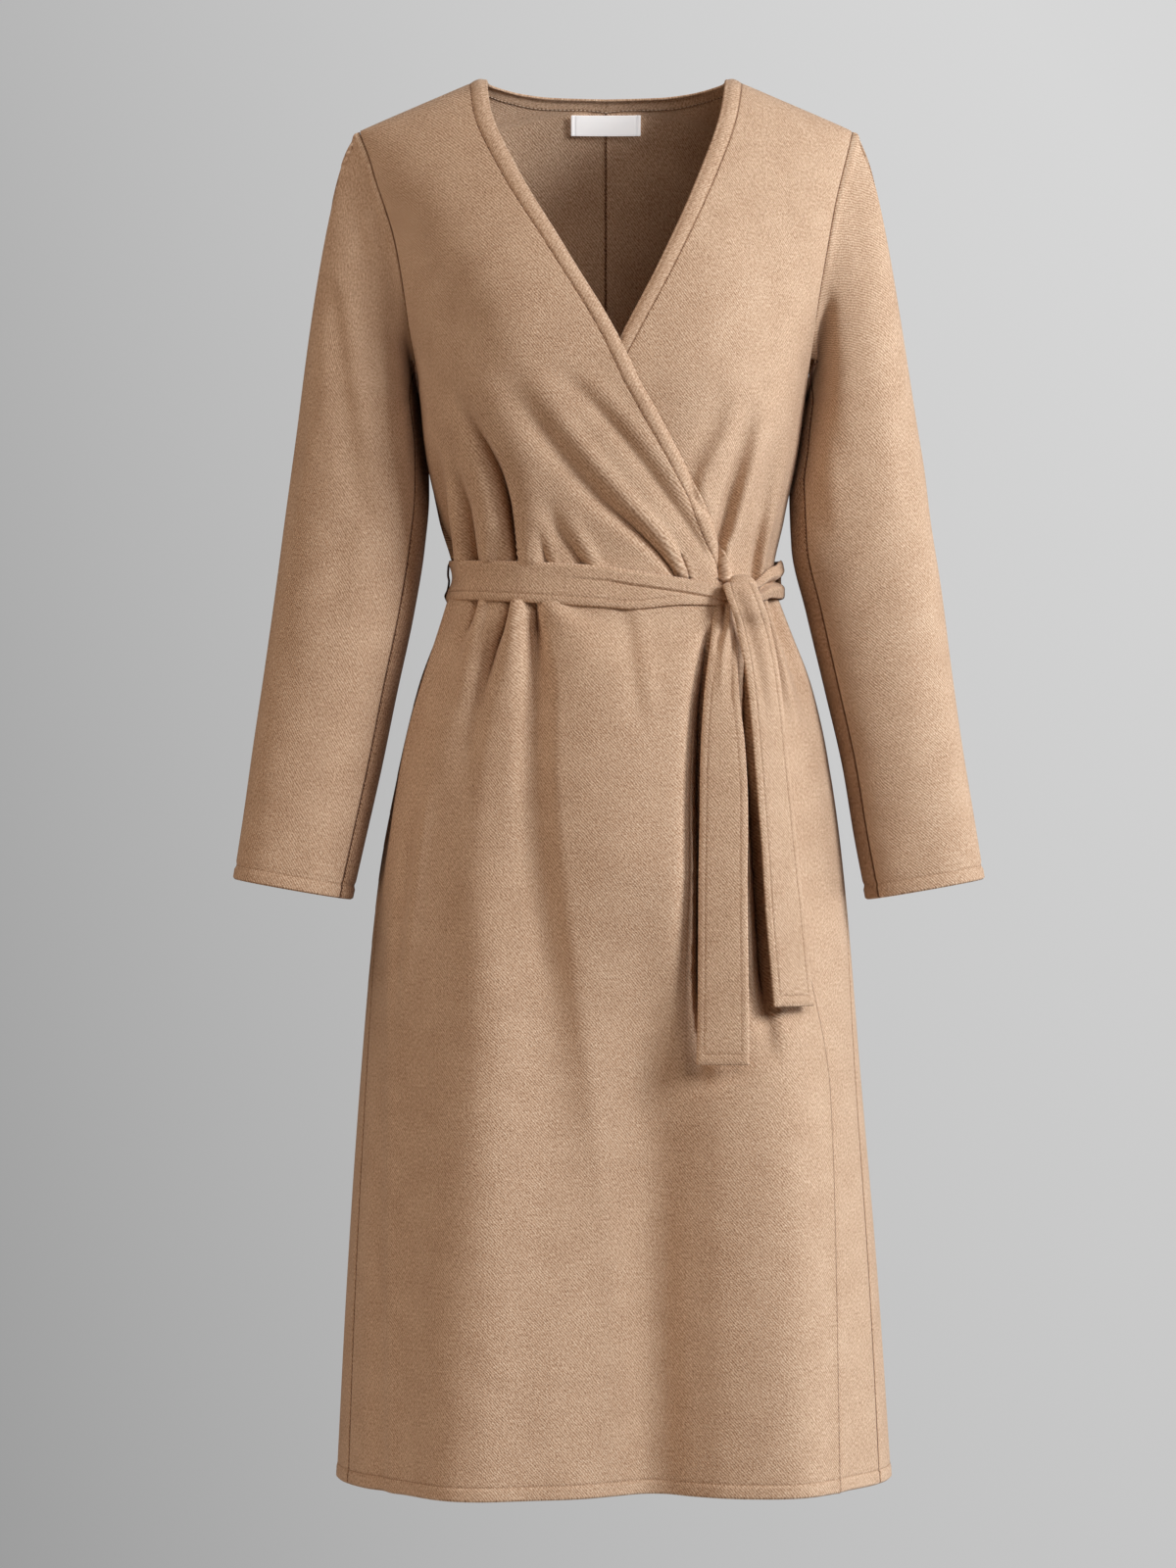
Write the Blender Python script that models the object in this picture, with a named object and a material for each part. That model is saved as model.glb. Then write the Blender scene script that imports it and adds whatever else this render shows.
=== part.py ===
"""A wrap dress of wool twill, hollow, in the shape that it has on a wearer.

Metres, +Z up. +X is the wearer's left, -Y is the front. The origin lies on the
centre line between the shoulder seams, at half the slope of the shoulders.

Every cloth piece is a wall between two copies of one surface, so all pieces share
that surface: "turn" is the angle round the body, 0 at the centre front and 180 at
the centre back, and "row" is the height at which a row of the surface meets the
side. Rows slope up to the shoulder seam above the underarm and lie level below it.
"""

import math

import bpy
import numpy as np

# Driving sizes
CLOTH = 0.0014  # one layer of the wool
BAND_WALL = 0.0020  # the folded band of the neck edge
BELT_WALL = 0.0026  # the belt is two layers
LAP_GAP = 0.0018  # air between a front and the front that laps over it
SEAM_GAP = 0.0003
BAND_WIDTH = 0.0100

NECK_X, NECK_Z = 0.0990, 0.0225  # where the neck edge meets the shoulder seam
SHOULDER_X, SHOULDER_Z = 0.2020, -0.0210  # outer end of the shoulder seam
BACK_NECK_Z = 0.0140  # centre back, top of the neck band
UNDERARM_Z = -0.2340
HEM_Z = -1.1160
SQUARE = 2.15  # 2 is an ellipse, more is squarer
FRONT_ROUND, BACK_ROUND = 0.42, 0.33  # how fast the rows below the shoulder gain depth

# The body of the dress: half widths to the wearer's right and left, depths to the
# front and back, at the height where the row meets the side.
SECTION = ("row", "right_side", "left_side", "front", "back")
SECTIONS = [
    (SHOULDER_Z, 0.2020, 0.2015, 0.105, 0.092),
    (-0.0480, 0.1968, 0.1992, 0.108, 0.098),
    (-0.0750, 0.1932, 0.1966, 0.110, 0.102),
    (-0.1210, 0.1838, 0.1909, 0.116, 0.106),
    (-0.1810, 0.1671, 0.1767, 0.124, 0.107),
    (UNDERARM_Z, 0.1515, 0.1625, 0.126, 0.105),
    (-0.2820, 0.1468, 0.1556, 0.121, 0.102),
    (-0.3380, 0.1364, 0.1452, 0.111, 0.097),
    (-0.3870, 0.1242, 0.1360, 0.104, 0.092),
    (-0.4100, 0.1300, 0.1420, 0.106, 0.096),
    (-0.4740, 0.1532, 0.1668, 0.120, 0.110),
    (-0.5540, 0.1720, 0.1844, 0.129, 0.122),
    (-0.6340, 0.1860, 0.1944, 0.134, 0.127),
    (-0.7940, 0.2004, 0.2076, 0.139, 0.129),
    (-0.9540, 0.2112, 0.2212, 0.144, 0.131),
    (HEM_Z, 0.2196, 0.2322, 0.148, 0.133),
]

# Free edges of the two fronts, from the shoulder seam to the hem, as x and z. The
# wearer's right front laps over the left one.
LAP_EDGE = [
    (-NECK_X, NECK_Z),
    (-0.0955, -0.0054),
    (-0.0733, -0.0589),
    (-0.0308, -0.1322),
    (0.0096, -0.2013),
    (0.0512, -0.2820),
    (0.0809, -0.3389),
    (0.0991, -0.3836),
    (0.1080, -0.4200),
    (0.1330, -0.5500),
    (0.1560, -0.6900),
    (0.1740, -0.8000),
    (0.1800, HEM_Z),
]
UNDER_EDGE = [
    (NECK_X, NECK_Z),
    (0.0943, -0.0078),
    (0.0761, -0.0628),
    (0.0428, -0.1376),
    (0.0116, -0.1989),
    (-0.0400, -0.2820),
    (-0.0700, -0.3389),
    (-0.0880, -0.3836),
    (-0.0950, -0.4200),
    (-0.1000, -0.5500),
    (-0.1000, HEM_Z),
]
BACK_NECK = [(NECK_X, NECK_Z), (0.0707, 0.0170), (0.0457, 0.0148), (0.0000, BACK_NECK_Z)]

# How far round the body the side seam lies, in degrees from the centre front.
SIDE_SEAM = [(UNDERARM_Z, 90), (-0.50, 88), (-0.78, 76), (HEM_Z, 71)]

# The largest folds, each as width, lift and path. A path is x and z, and a negative
# lift is a trough.
FRONT_FOLDS = {
    "right bust": (0.050, 0.008, [(-0.078, -0.080), (-0.082, -0.200), (-0.078, -0.330)]),
    "left bust": (0.050, 0.008, [(0.084, -0.080), (0.088, -0.200), (0.084, -0.330)]),
    "side gather": (0.010, -0.004, [(-0.132, -0.285), (-0.1265, -0.339), (-0.1233, -0.373)]),
    "second gather": (0.009, -0.004, [(-0.1157, -0.305), (-0.1086, -0.350), (-0.1046, -0.376)]),
    "deep tuck": (0.011, -0.009, [(-0.106, -0.255), (-0.092, -0.288), (-0.075, -0.353), (-0.068, -0.384)]),
    "long drape": (0.014, -0.008, [(-0.070, -0.232), (-0.036, -0.282), (0.022, -0.345), (0.054, -0.386)]),
    "edge drape": (0.012, -0.005, [(-0.026, -0.222), (0.0015, -0.254), (0.0217, -0.286), (0.0460, -0.322)]),
    "knot tuck": (0.010, -0.008, [(0.1210, -0.262), (0.1095, -0.298), (0.0994, -0.334), (0.0945, -0.376)]),
    "side tuck": (0.009, -0.005, [(0.1430, -0.250), (0.1389, -0.292), (0.1310, -0.332), (0.1262, -0.370)]),
    "hip pleat": (0.010, -0.006, [(-0.0820, -0.406), (-0.0916, -0.451), (-0.0963, -0.495), (-0.100, -0.580)]),
    "crisp ridge": (0.011, 0.006, [(-0.063, -0.408), (-0.074, -0.485), (-0.075, -0.604), (-0.082, -0.820)]),
    "broad trough": (0.019, -0.010, [(-0.060, -0.406), (-0.050, -0.485), (-0.040, -0.604), (-0.018, -0.820)]),
    "tail pleat": (0.008, -0.005, [(0.1290, -0.412), (0.1357, -0.437), (0.1440, -0.466), (0.1500, -0.500)]),
    "right lobe": (0.036, 0.024, [(-0.100, -0.620), (-0.106, -0.900), (-0.112, -1.300)]),
    "middle hollow": (0.045, -0.034, [(0.030, -0.620), (0.034, -0.900), (0.035, -1.300)]),
    "left lobe": (0.030, 0.012, [(0.140, -0.640), (0.148, -0.900), (0.150, -1.300)]),
}
BACK_FOLDS = {
    "right gather": (0.012, -0.006, [(-0.084, -0.280), (-0.072, -0.330), (-0.066, -0.384)]),
    "left gather": (0.012, -0.006, [(0.090, -0.270), (0.080, -0.330), (0.072, -0.384)]),
    "right pleat": (0.014, -0.007, [(-0.062, -0.396), (-0.078, -0.480), (-0.086, -0.620)]),
    "left pleat": (0.014, -0.007, [(0.070, -0.396), (0.082, -0.480), (0.092, -0.640)]),
    "right lobe": (0.036, 0.014, [(-0.115, -0.560), (-0.122, -0.900), (-0.124, -1.300)]),
    "centre hollow": (0.050, -0.016, [(-0.006, -0.560), (0.000, -0.900), (0.004, -1.300)]),
    "left lobe": (0.038, 0.014, [(0.112, -0.560), (0.120, -0.900), (0.124, -1.300)]),
}

# The belt, from the wearer's right side round the front to the left side.
BELT_COURSE = [(-0.150, -0.3870), (0.000, -0.3975), (0.085, -0.4025), (0.105, -0.3990), (0.160, -0.3880)]
BELT_BACK_Z = -0.3875
BELT_HEIGHT = [
    (-0.150, 0.032),
    (0.010, 0.032),
    (0.060, 0.022),
    (0.086, 0.017),
    (0.110, 0.018),
    (0.160, 0.024),
]
KNOT_X, KNOT_Z = 0.0978, -0.4025
KNOT_HALF = (0.0142, 0.0110, 0.0155)  # half its width, depth and height

# Sleeves: outer and inner edge of the flattened tube seen from the front, its half
# depth, and how far the arm has come forward. The tube's rings slope down to the body.
SLEEVE = ("outer_z", "right_outer", "right_inner", "left_outer", "left_inner", "half_depth", "forward")
SLEEVES = [
    (-0.2300, 0.2478, 0.1550, 0.2488, 0.1660, 0.050, 0.000),
    (-0.2620, 0.2518, 0.1505, 0.2538, 0.1596, 0.052, 0.000),
    (-0.2980, 0.2566, 0.1462, 0.2596, 0.1556, 0.052, 0.001),
    (-0.3400, 0.2622, 0.1486, 0.2646, 0.1560, 0.051, 0.003),
    (-0.3950, 0.2692, 0.1565, 0.2730, 0.1640, 0.049, 0.006),
    (-0.4600, 0.2780, 0.1700, 0.2810, 0.1780, 0.045, 0.011),
    (-0.5230, 0.2870, 0.1825, 0.2894, 0.1920, 0.042, 0.017),
    (-0.5800, 0.2946, 0.1950, 0.2984, 0.2012, 0.039, 0.023),
    (-0.6290, 0.3018, 0.2058, 0.3060, 0.2104, 0.037, 0.028),
]
RING_SLOPE = math.radians(10)
ARMHOLE_SCOOP = 20  # degrees that the armhole cuts in from the side
HEAD_LIFT = 1.1  # how far the sleeve's head runs on outwards from the shoulder
UNDER_SLEEVE = (0.90, 0.72)  # how far down the armhole its front and back seams start

WOOL = ("camel wool", (0.520, 0.330, 0.205), 0.85)
WOVEN_LABEL = ("woven label", (0.800, 0.800, 0.810), 0.60)


def curve(points):
    """A smooth function through (at, value) points that doesn't overshoot them."""
    at, value = np.array(sorted(points), float).T
    step = np.diff(at)
    slope = np.diff(value) / step
    same_way = slope[:-1] * slope[1:] > 0
    safe = np.where(same_way, slope[:-1] + slope[1:], 1.0)
    middle = np.where(same_way, 2 * slope[:-1] * slope[1:] / safe, 0.0)
    tangent = np.concatenate([slope[:1], middle, slope[-1:]])

    def evaluate(x):
        x = np.clip(x, at[0], at[-1])
        i = np.clip(np.searchsorted(at, x) - 1, 0, len(step) - 1)
        t = (x - at[i]) / step[i]
        rest = 1 - t
        return (
            rest * rest * (1 + 2 * t) * value[i]
            + t * t * (3 - 2 * t) * value[i + 1]
            + t * rest * step[i] * (rest * tangent[i] - t * tangent[i + 1])
        )

    return evaluate


def column_curves(columns, rows):
    """One curve for each column of a table, over its first column."""
    table = np.array(rows, float)
    return {name: curve(zip(table[:, 0], table[:, i])) for i, name in enumerate(columns) if i}


def ease(x):
    x = np.clip(x, 0.0, 1.0)
    return x * x * (3 - 2 * x)


def unit(vectors):
    return vectors / np.linalg.norm(vectors, axis=-1, keepdims=True)


BODY = column_curves(SECTION, SECTIONS)
ARM = column_curves(SLEEVE, SLEEVES)
belt_z = curve(BELT_COURSE)
belt_height = curve(BELT_HEIGHT)
side_seam = curve(SIDE_SEAM)


def shoulder_z(x):
    """Height of the shoulder seam's line, which runs on past the neck."""
    fall = (NECK_Z - SHOULDER_Z) / (SHOULDER_X - NECK_X)
    return NECK_Z - fall * (np.abs(x) - NECK_X)


def drop(row):
    """0 at the shoulder seam, 1 at the underarm and below."""
    return np.clip((SHOULDER_Z - row) / (SHOULDER_Z - UNDERARM_Z), 0.0, 1.0)


def row_of(x, z):
    """The row that passes through a point seen from the front."""
    share = (shoulder_z(x) - z) / (shoulder_z(x) - UNDERARM_Z)
    return np.where(z < UNDERARM_Z, z, SHOULDER_Z - share * (SHOULDER_Z - UNDERARM_Z))


def fold_lift(x, z, folds, belt_at):
    total = np.zeros(np.broadcast(x, z).shape)
    for width, lift, path in folds.values():
        ends = np.array(path)[:, 1]
        top, bottom = ends.max(), ends.min()
        middle = curve([(down, across) for across, down in path])(z)
        along = (top - z) / (top - bottom)
        fade = ease(along / 0.35) * ease((1 - along) / 0.25)
        total = total + lift * fade * np.exp(-(((x - middle) / width) ** 2))
    under_belt = ease(1 - (np.abs(z - belt_at) - 0.015) / 0.010)
    return total * (1 - under_belt)


def bare_surface(turn, row):
    """Points on the body's surface, with its largest folds."""
    s, c = np.sin(turn), np.cos(turn)
    side = np.where(s > 0, BODY["left_side"](row), BODY["right_side"](row))
    slant = 1 - (1 - drop(row)) ** 2
    front = BODY["front"](row) * slant**FRONT_ROUND
    back = BODY["back"](row) * slant**BACK_ROUND
    deep = np.where(c > 0, front, back)
    x = side * np.sign(s) * np.abs(s) ** (2 / SQUARE)
    y = -deep * np.sign(c) * np.abs(c) ** (2 / SQUARE)
    share = drop(row)
    z = np.where(row < UNDERARM_Z, row, shoulder_z(x) * (1 - share) + UNDERARM_Z * share)
    lean = 2 - 2 / SQUARE
    out_x = np.sign(s) * np.abs(s) ** lean / side
    out_y = -np.sign(c) * np.abs(c) ** lean / np.maximum(deep, 0.001)
    length = np.hypot(out_x, out_y)
    in_front = fold_lift(x, z, FRONT_FOLDS, belt_z(x))
    lift = np.where(c > 0, in_front, fold_lift(x, z, BACK_FOLDS, BELT_BACK_Z))
    return np.stack([x + lift * out_x / length, y + lift * out_y / length, z], axis=-1)


def surface(turn, row):
    """Points on the body's surface and its outward normals."""
    turn, row = np.broadcast_arrays(np.asarray(turn, float), np.asarray(row, float))
    small_turn, small_row = 0.01, 0.0015
    top = np.minimum(row + small_row, SHOULDER_Z)
    bottom = np.maximum(row - small_row, HEM_Z)
    off_seam = np.minimum(row, SHOULDER_Z - small_row)
    across = bare_surface(turn + small_turn, off_seam) - bare_surface(turn - small_turn, off_seam)
    down = bare_surface(turn, bottom) - bare_surface(turn, top)
    normals = np.cross(down, across)
    normals[..., 1] *= np.minimum(drop(row) / 0.02, 1.0)  # seam walls stand upright on the shoulder
    return bare_surface(turn, row), unit(normals)


def turn_of(x, row, behind=False):
    side = np.where(x > 0, BODY["left_side"](row), BODY["right_side"](row))
    turn = np.sign(x) * np.arcsin(np.minimum(np.abs(x) / side, 1.0) ** (SQUARE / 2))
    return np.where(x < 0, -math.pi, math.pi) - turn if behind else turn


def armhole_turn(row):
    """How far round the body a panel reaches: to the armhole, and below it the side seam."""
    scoop = ARMHOLE_SCOOP * np.sin(math.pi * drop(row)) ** 0.6
    return np.radians(np.where(row > UNDERARM_Z, 90 - scoop, side_seam(row)))


def edge_of(points):
    """A free edge as the x at which it crosses each row."""
    return curve([(float(row_of(x, z)), x) for x, z in points])


def new_piece(name, points, faces, finish):
    label, colour, roughness = finish
    mesh = bpy.data.meshes.new(name)
    mesh.from_pydata([tuple(p) for p in points], [], faces)
    mesh.shade_smooth()
    mesh.set_sharp_from_angle(angle=math.radians(40))
    material = bpy.data.materials.get(label) or bpy.data.materials.new(label)
    material.use_nodes = True
    shader = material.node_tree.nodes["Principled BSDF"]
    shader.inputs["Base Color"].default_value = (*colour, 1.0)
    shader.inputs["Roughness"].default_value = roughness
    shader.inputs["Metallic"].default_value = 0.0
    mesh.materials.append(material)
    piece = bpy.data.objects.new(name, mesh)
    bpy.context.scene.collection.objects.link(piece)
    return piece


def wall(name, outside, inside, finish=WOOL):
    """A closed wall between two grids of points, rows by columns, both seen from outside."""
    rows, columns = outside.shape[:2]
    count = rows * columns
    index = np.arange(count).reshape(rows, columns)
    faces = []
    for i in range(rows - 1):
        for j in range(columns - 1):
            corners = [index[i, j], index[i + 1, j], index[i + 1, j + 1], index[i, j + 1]]
            faces.append([int(k) for k in corners])
            faces.append([int(k) + count for k in reversed(corners)])
    border = [*index[0, :-1], *index[:-1, -1], *index[-1, :0:-1], *index[:0:-1, 0]]
    for a, b in zip(border, border[1:] + border[:1]):
        faces.append([int(a), int(b), int(b) + count, int(a) + count])
    points = np.concatenate([outside.reshape(-1, 3), inside.reshape(-1, 3)])
    return new_piece(name, points, faces, finish)


def body_wall(name, turns, rows, stand=0.0, thick=CLOTH, shift_y=0.0, finish=WOOL):
    """A wall on the body's surface. Columns run towards the wearer's left as seen from outside."""
    points, normals = surface(turns, rows)
    points = points + np.array([0.0, shift_y, 0.0])
    stand = np.broadcast_to(stand, turns.shape)[..., None]
    return wall(name, points + stand * normals, points + (stand - thick) * normals, finish)


UPPER_DROPS = [0.0, 0.03, 0.085, 0.14, 0.21, 0.36, 0.54, 0.72, 0.90, 1.0]
LOWER_ROWS = [
    -0.258, -0.280, -0.302, -0.323, -0.343, -0.360, -0.374, -0.388, -0.403, -0.416,
    -0.434, -0.457, -0.486, -0.525, -0.580, -0.650, -0.740, -0.840, -0.945, -1.040, HEM_Z,
]
ROWS = np.array([SHOULDER_Z - d * (SHOULDER_Z - UNDERARM_Z) for d in UPPER_DROPS] + LOWER_ROWS)
SEAM_TURN = 0.0016  # half a seam's gap, as an angle round the body
ARM_SEAM_TURN = 0.005
ARMHOLE_GAP = 0.0007
SHOULDER_SHIFT = 0.00025  # keeps front and back apart along the shoulder seam
EDGE_REACH = 1.15 * BAND_WIDTH  # the band's width along x, where the edge runs slanting
BAND_END_Z = -0.388


def lap_stand(turn, row):
    """How far the outer front stands off the shared surface: clear of the front beneath it."""
    from_side = ease((turn + armhole_turn(row)) / math.radians(24))
    return (CLOTH + LAP_GAP) * from_side * ease((-0.050 - row) / 0.100)


def under_stand(turn, row):
    """The front beneath keeps back from the one over it, up to its lap edge."""
    side = np.where(turn > 0, BODY["left_side"](row), BODY["right_side"](row))
    x = side * np.sign(turn) * np.abs(np.sin(turn)) ** (2 / SQUARE)
    covered = ease((edge_of(LAP_EDGE)(row) + 0.004 - x) / 0.020)
    return -0.0030 * covered * ease((-0.150 - row) / 0.060)


def band_reach(row):
    return EDGE_REACH * (row > BAND_END_Z)


def spaced(start, end, shares):
    return start[:, None] + (end - start)[:, None] * np.asarray(shares)[None, :]


def front_turns(edge, way, shares):
    """Columns from the side to the front's free edge. way is -1 for the wearer's right front."""
    free = edge(ROWS) + way * band_reach(ROWS)
    side = way * (armhole_turn(ROWS) - SEAM_TURN)
    return spaced(side, turn_of(free, ROWS), shares)


def build_fronts():
    rows = ROWS[:, None]
    lap = front_turns(edge_of(LAP_EDGE), -1, np.linspace(0, 1, 22))
    body_wall("front_right", lap, rows, lap_stand(lap, rows), shift_y=-SHOULDER_SHIFT)
    hidden_half = np.concatenate([np.linspace(0, 0.56, 11), np.linspace(0.62, 1, 6)])
    under = front_turns(edge_of(UNDER_EDGE), 1, hidden_half)
    under = under[:, ::-1]
    body_wall("front_left", under, rows, under_stand(under, rows), shift_y=-SHOULDER_SHIFT)


def back_neck():
    """Half width of the back's neck opening for each row, and its lowest row."""
    seam_x, centre_z = NECK_X + EDGE_REACH, BACK_NECK_Z - BAND_WIDTH
    seam_end = (seam_x, float(shoulder_z(seam_x)))
    inset = edge_of([seam_end, (0.0790, 0.0095), (0.0500, 0.0055), (0.0, centre_z)])
    low_row = float(row_of(0.0, centre_z))
    return np.where(ROWS > low_row, np.maximum(inset(ROWS), 0.0), 0.0), low_row


def build_backs():
    inner_x, _ = back_neck()
    rows = ROWS[:, None]
    for name, way in (("back_right", -1), ("back_left", 1)):
        centre = turn_of(way * np.maximum(inner_x, SEAM_GAP / 2), ROWS, behind=True)
        side = way * (armhole_back_turn(ROWS) + SEAM_TURN)
        turns = spaced(centre, side, np.linspace(0, 1, 9))
        body_wall(name, turns if way < 0 else turns[:, ::-1], rows, shift_y=SHOULDER_SHIFT)


def armhole_back_turn(row):
    """The armhole's back edge, and below it the side seam, which the front shares."""
    scoop = ARMHOLE_SCOOP * np.sin(math.pi * drop(row)) ** 0.6
    return np.radians(np.where(row > UNDERARM_Z, 90 + scoop, side_seam(row)))


def band_side(name, way, edge_points, stand):
    """The neck band of one side: up the front's edge, over the shoulder and to the centre back."""
    edge = edge_of(edge_points)
    front_rows = ROWS[(ROWS > BAND_END_Z)][::-1]
    outer_x = edge(front_rows)
    inner_x = outer_x + way * EDGE_REACH
    shares = np.array([0.03, 0.5, 1.0])
    front_turn = turn_of(spaced(inner_x, outer_x, shares), front_rows[:, None])
    front_points, front_normals = surface(front_turn, front_rows[:, None])
    front_points = front_points + np.array([0.0, -SHOULDER_SHIFT, 0.0])
    stands = stand(front_turn, front_rows[:, None])[..., None]

    inset_x, low_row = back_neck()
    back_rows = np.append(ROWS[(ROWS > low_row)][1:], low_row)
    inset = np.append(inset_x[ROWS > low_row][1:], SEAM_GAP / 2)
    outline = curve([(x, z) for x, z in BACK_NECK])
    reach = (NECK_X + EDGE_REACH) / NECK_X
    rim_x = np.maximum(inset / reach, SEAM_GAP / 2)
    rim_rows = row_of(rim_x, outline(rim_x))
    xs, row_grid = spaced(inset, rim_x, shares), spaced(back_rows, rim_rows, shares)
    back_points, back_normals = surface(turn_of(way * xs, row_grid, behind=True), row_grid)
    back_points = back_points + np.array([0.0, SHOULDER_SHIFT, 0.0])

    points = np.concatenate([front_points, back_points])
    normals = np.concatenate([front_normals, back_normals])
    proud = np.concatenate([stands + 0.0003, np.full((len(back_rows), 3, 1), 0.0003)])
    outside = points + proud * normals
    inside = points + (proud - BAND_WALL) * normals
    if way < 0:
        outside, inside = outside[::-1], inside[::-1]
    wall(name, outside, inside)


def build_bands():
    band_side("neck_band_right", -1, LAP_EDGE, lap_stand)
    band_side("neck_band_left", 1, UNDER_EDGE, under_stand)


def armhole(angle, way):
    """Point and normal of the armhole at an angle round the arm, 0 on top and 90 in front."""
    down = (1 - np.cos(angle)) / 2
    row = SHOULDER_Z - down * (SHOULDER_Z - UNDERARM_Z)
    scoop = np.radians(ARMHOLE_SCOOP) * np.sin(math.pi * down) ** 0.6
    turn = math.pi / 2 - np.where(np.sin(angle) >= 0, scoop, -scoop)
    points, normals = surface(way * turn, row)
    return points + np.array([way * ARMHOLE_GAP, 0.0, -0.3 * ARMHOLE_GAP]), normals


def sleeve_ring(angle, outer_z, way):
    """Point on the sleeve's tube at an angle round the arm."""
    side = "left_" if way > 0 else "right_"
    outer_x, inner_x = ARM[side + "outer"](outer_z), ARM[side + "inner"](outer_z)
    half = (outer_x - inner_x) / 2
    round_x = np.sign(np.cos(angle)) * np.abs(np.cos(angle)) ** (2 / SQUARE)
    round_y = np.sign(np.sin(angle)) * np.abs(np.sin(angle)) ** (2 / SQUARE)
    x = way * (inner_x + half + half * round_x)
    y = -ARM["forward"](outer_z) - ARM["half_depth"](outer_z) * round_y
    z = outer_z - half * math.tan(RING_SLOPE) * (1 - round_x)
    return np.stack(np.broadcast_arrays(x, y, z), axis=-1)


def sleeve_point(angle, along, way):
    """along is 0 at the armhole, 1 at the first full ring and 2 at the cuff."""
    tube_z = SLEEVES[0][0] + (SLEEVES[-1][0] - SLEEVES[0][0]) * np.clip(along - 1, 0, 1)
    tube = sleeve_ring(angle, tube_z, way)
    start, normal = armhole(angle, way)
    first = sleeve_ring(angle, SLEEVES[0][0], way)
    below = sleeve_ring(angle, SLEEVES[0][0] - 0.02, way)
    reach = np.linalg.norm(first - start, axis=-1, keepdims=True)
    leave = unit(np.cross(np.cross(normal, [way * 1.0, 0.0, -0.60]), normal))
    on_top = np.maximum(np.cos(angle), 0.0)[..., None] ** 3
    leave = unit(leave + HEAD_LIFT * on_top * np.array([way, 0.0, 0.0]))
    arrive = unit(below - first)
    t = np.clip(along, 0, 1)[..., None]
    rest = 1 - t
    cap = (
        rest**3 * start
        + 3 * rest**2 * t * (start + 0.12 * reach * leave)
        + 3 * rest * t**2 * (first - 0.42 * reach * arrive)
        + t**3 * first
    )
    return np.where(along[..., None] < 1, cap, tube)


def round_arm(drops):
    """Angles round the arm, 0 on top, that meet the armhole at these drops."""
    return np.arccos(1 - 2 * np.asarray(drops))


def sleeve_wall(name, way, angles):
    """Part of the sleeve's tube, between the first and the last angle round the arm."""
    along = np.array([0.0, 0.08, 0.22, 0.42, 0.68, 1.0, 1.08, 1.17, 1.28, 1.42, 1.58, 1.75, 1.88, 2.0])
    angle, down = np.meshgrid(angles, along)
    points = sleeve_point(angle, down, way)
    step = 0.03
    off_seam = np.maximum(down, step)
    across = sleeve_point(angle + step, off_seam, way) - sleeve_point(angle - step, off_seam, way)
    lower, upper = np.minimum(down + step, 2.0), np.maximum(down - step, 0.0)
    along_arm = sleeve_point(angle, lower, way) - sleeve_point(angle, upper, way)
    normals = way * unit(np.cross(across, along_arm))
    inside = points - CLOTH * normals
    if way > 0:
        points, inside = points[:, ::-1], inside[:, ::-1]
    wall(name, points, inside)


def build_sleeves():
    front_seam, back_seam = UNDER_SLEEVE
    drops = np.array(UPPER_DROPS)
    front = round_arm(drops[drops <= front_seam])
    back = -round_arm(drops[(drops <= back_seam) & (drops > 0)])[::-1]
    top = np.concatenate([back, front])
    below = 2 * math.pi - round_arm(drops[drops >= back_seam])[::-1]
    under = np.concatenate([front[-1:], below])
    for angles in (top, under):
        angles[0] += ARM_SEAM_TURN
        angles[-1] -= ARM_SEAM_TURN
    for side, way in (("right", -1), ("left", 1)):
        sleeve_wall(f"sleeve_top_{side}", way, top)
        sleeve_wall(f"sleeve_under_{side}", way, under)


def belt_stand(turn):
    """The belt lies on both fronts in front, and on one layer behind."""
    behind = ease((np.abs(turn) - math.radians(80)) / math.radians(30))
    return BELT_WALL + 0.0044 - 0.0024 * behind


def belt_wall(name, start, end, columns):
    turn = np.linspace(start, end, columns)[None, :]
    x = surface(turn, np.full_like(turn, -0.39))[0][..., 0]
    shares = np.array([0.5, 0.0, -0.5])[:, None]
    behind = np.abs(turn) > math.pi / 2
    middle = np.where(behind, BELT_BACK_Z, belt_z(x))
    rows = middle + np.where(behind, BELT_HEIGHT[0][1], belt_height(x)) * shares
    body_wall(name, np.broadcast_to(turn, rows.shape), rows, belt_stand(turn), BELT_WALL)


def build_belt():
    half_pi, gap = math.pi / 2, 0.0012
    knot_right = float(turn_of(KNOT_X - KNOT_HALF[0] - 0.0006, -0.40))
    knot_left = float(turn_of(KNOT_X + KNOT_HALF[0] + 0.0006, -0.39))
    belt_wall("belt_front", -half_pi + gap, knot_right, 16)
    belt_wall("belt_side", knot_left, half_pi - gap, 6)
    belt_wall("belt_back", half_pi + gap, 3 * half_pi - gap, 18)


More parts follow.
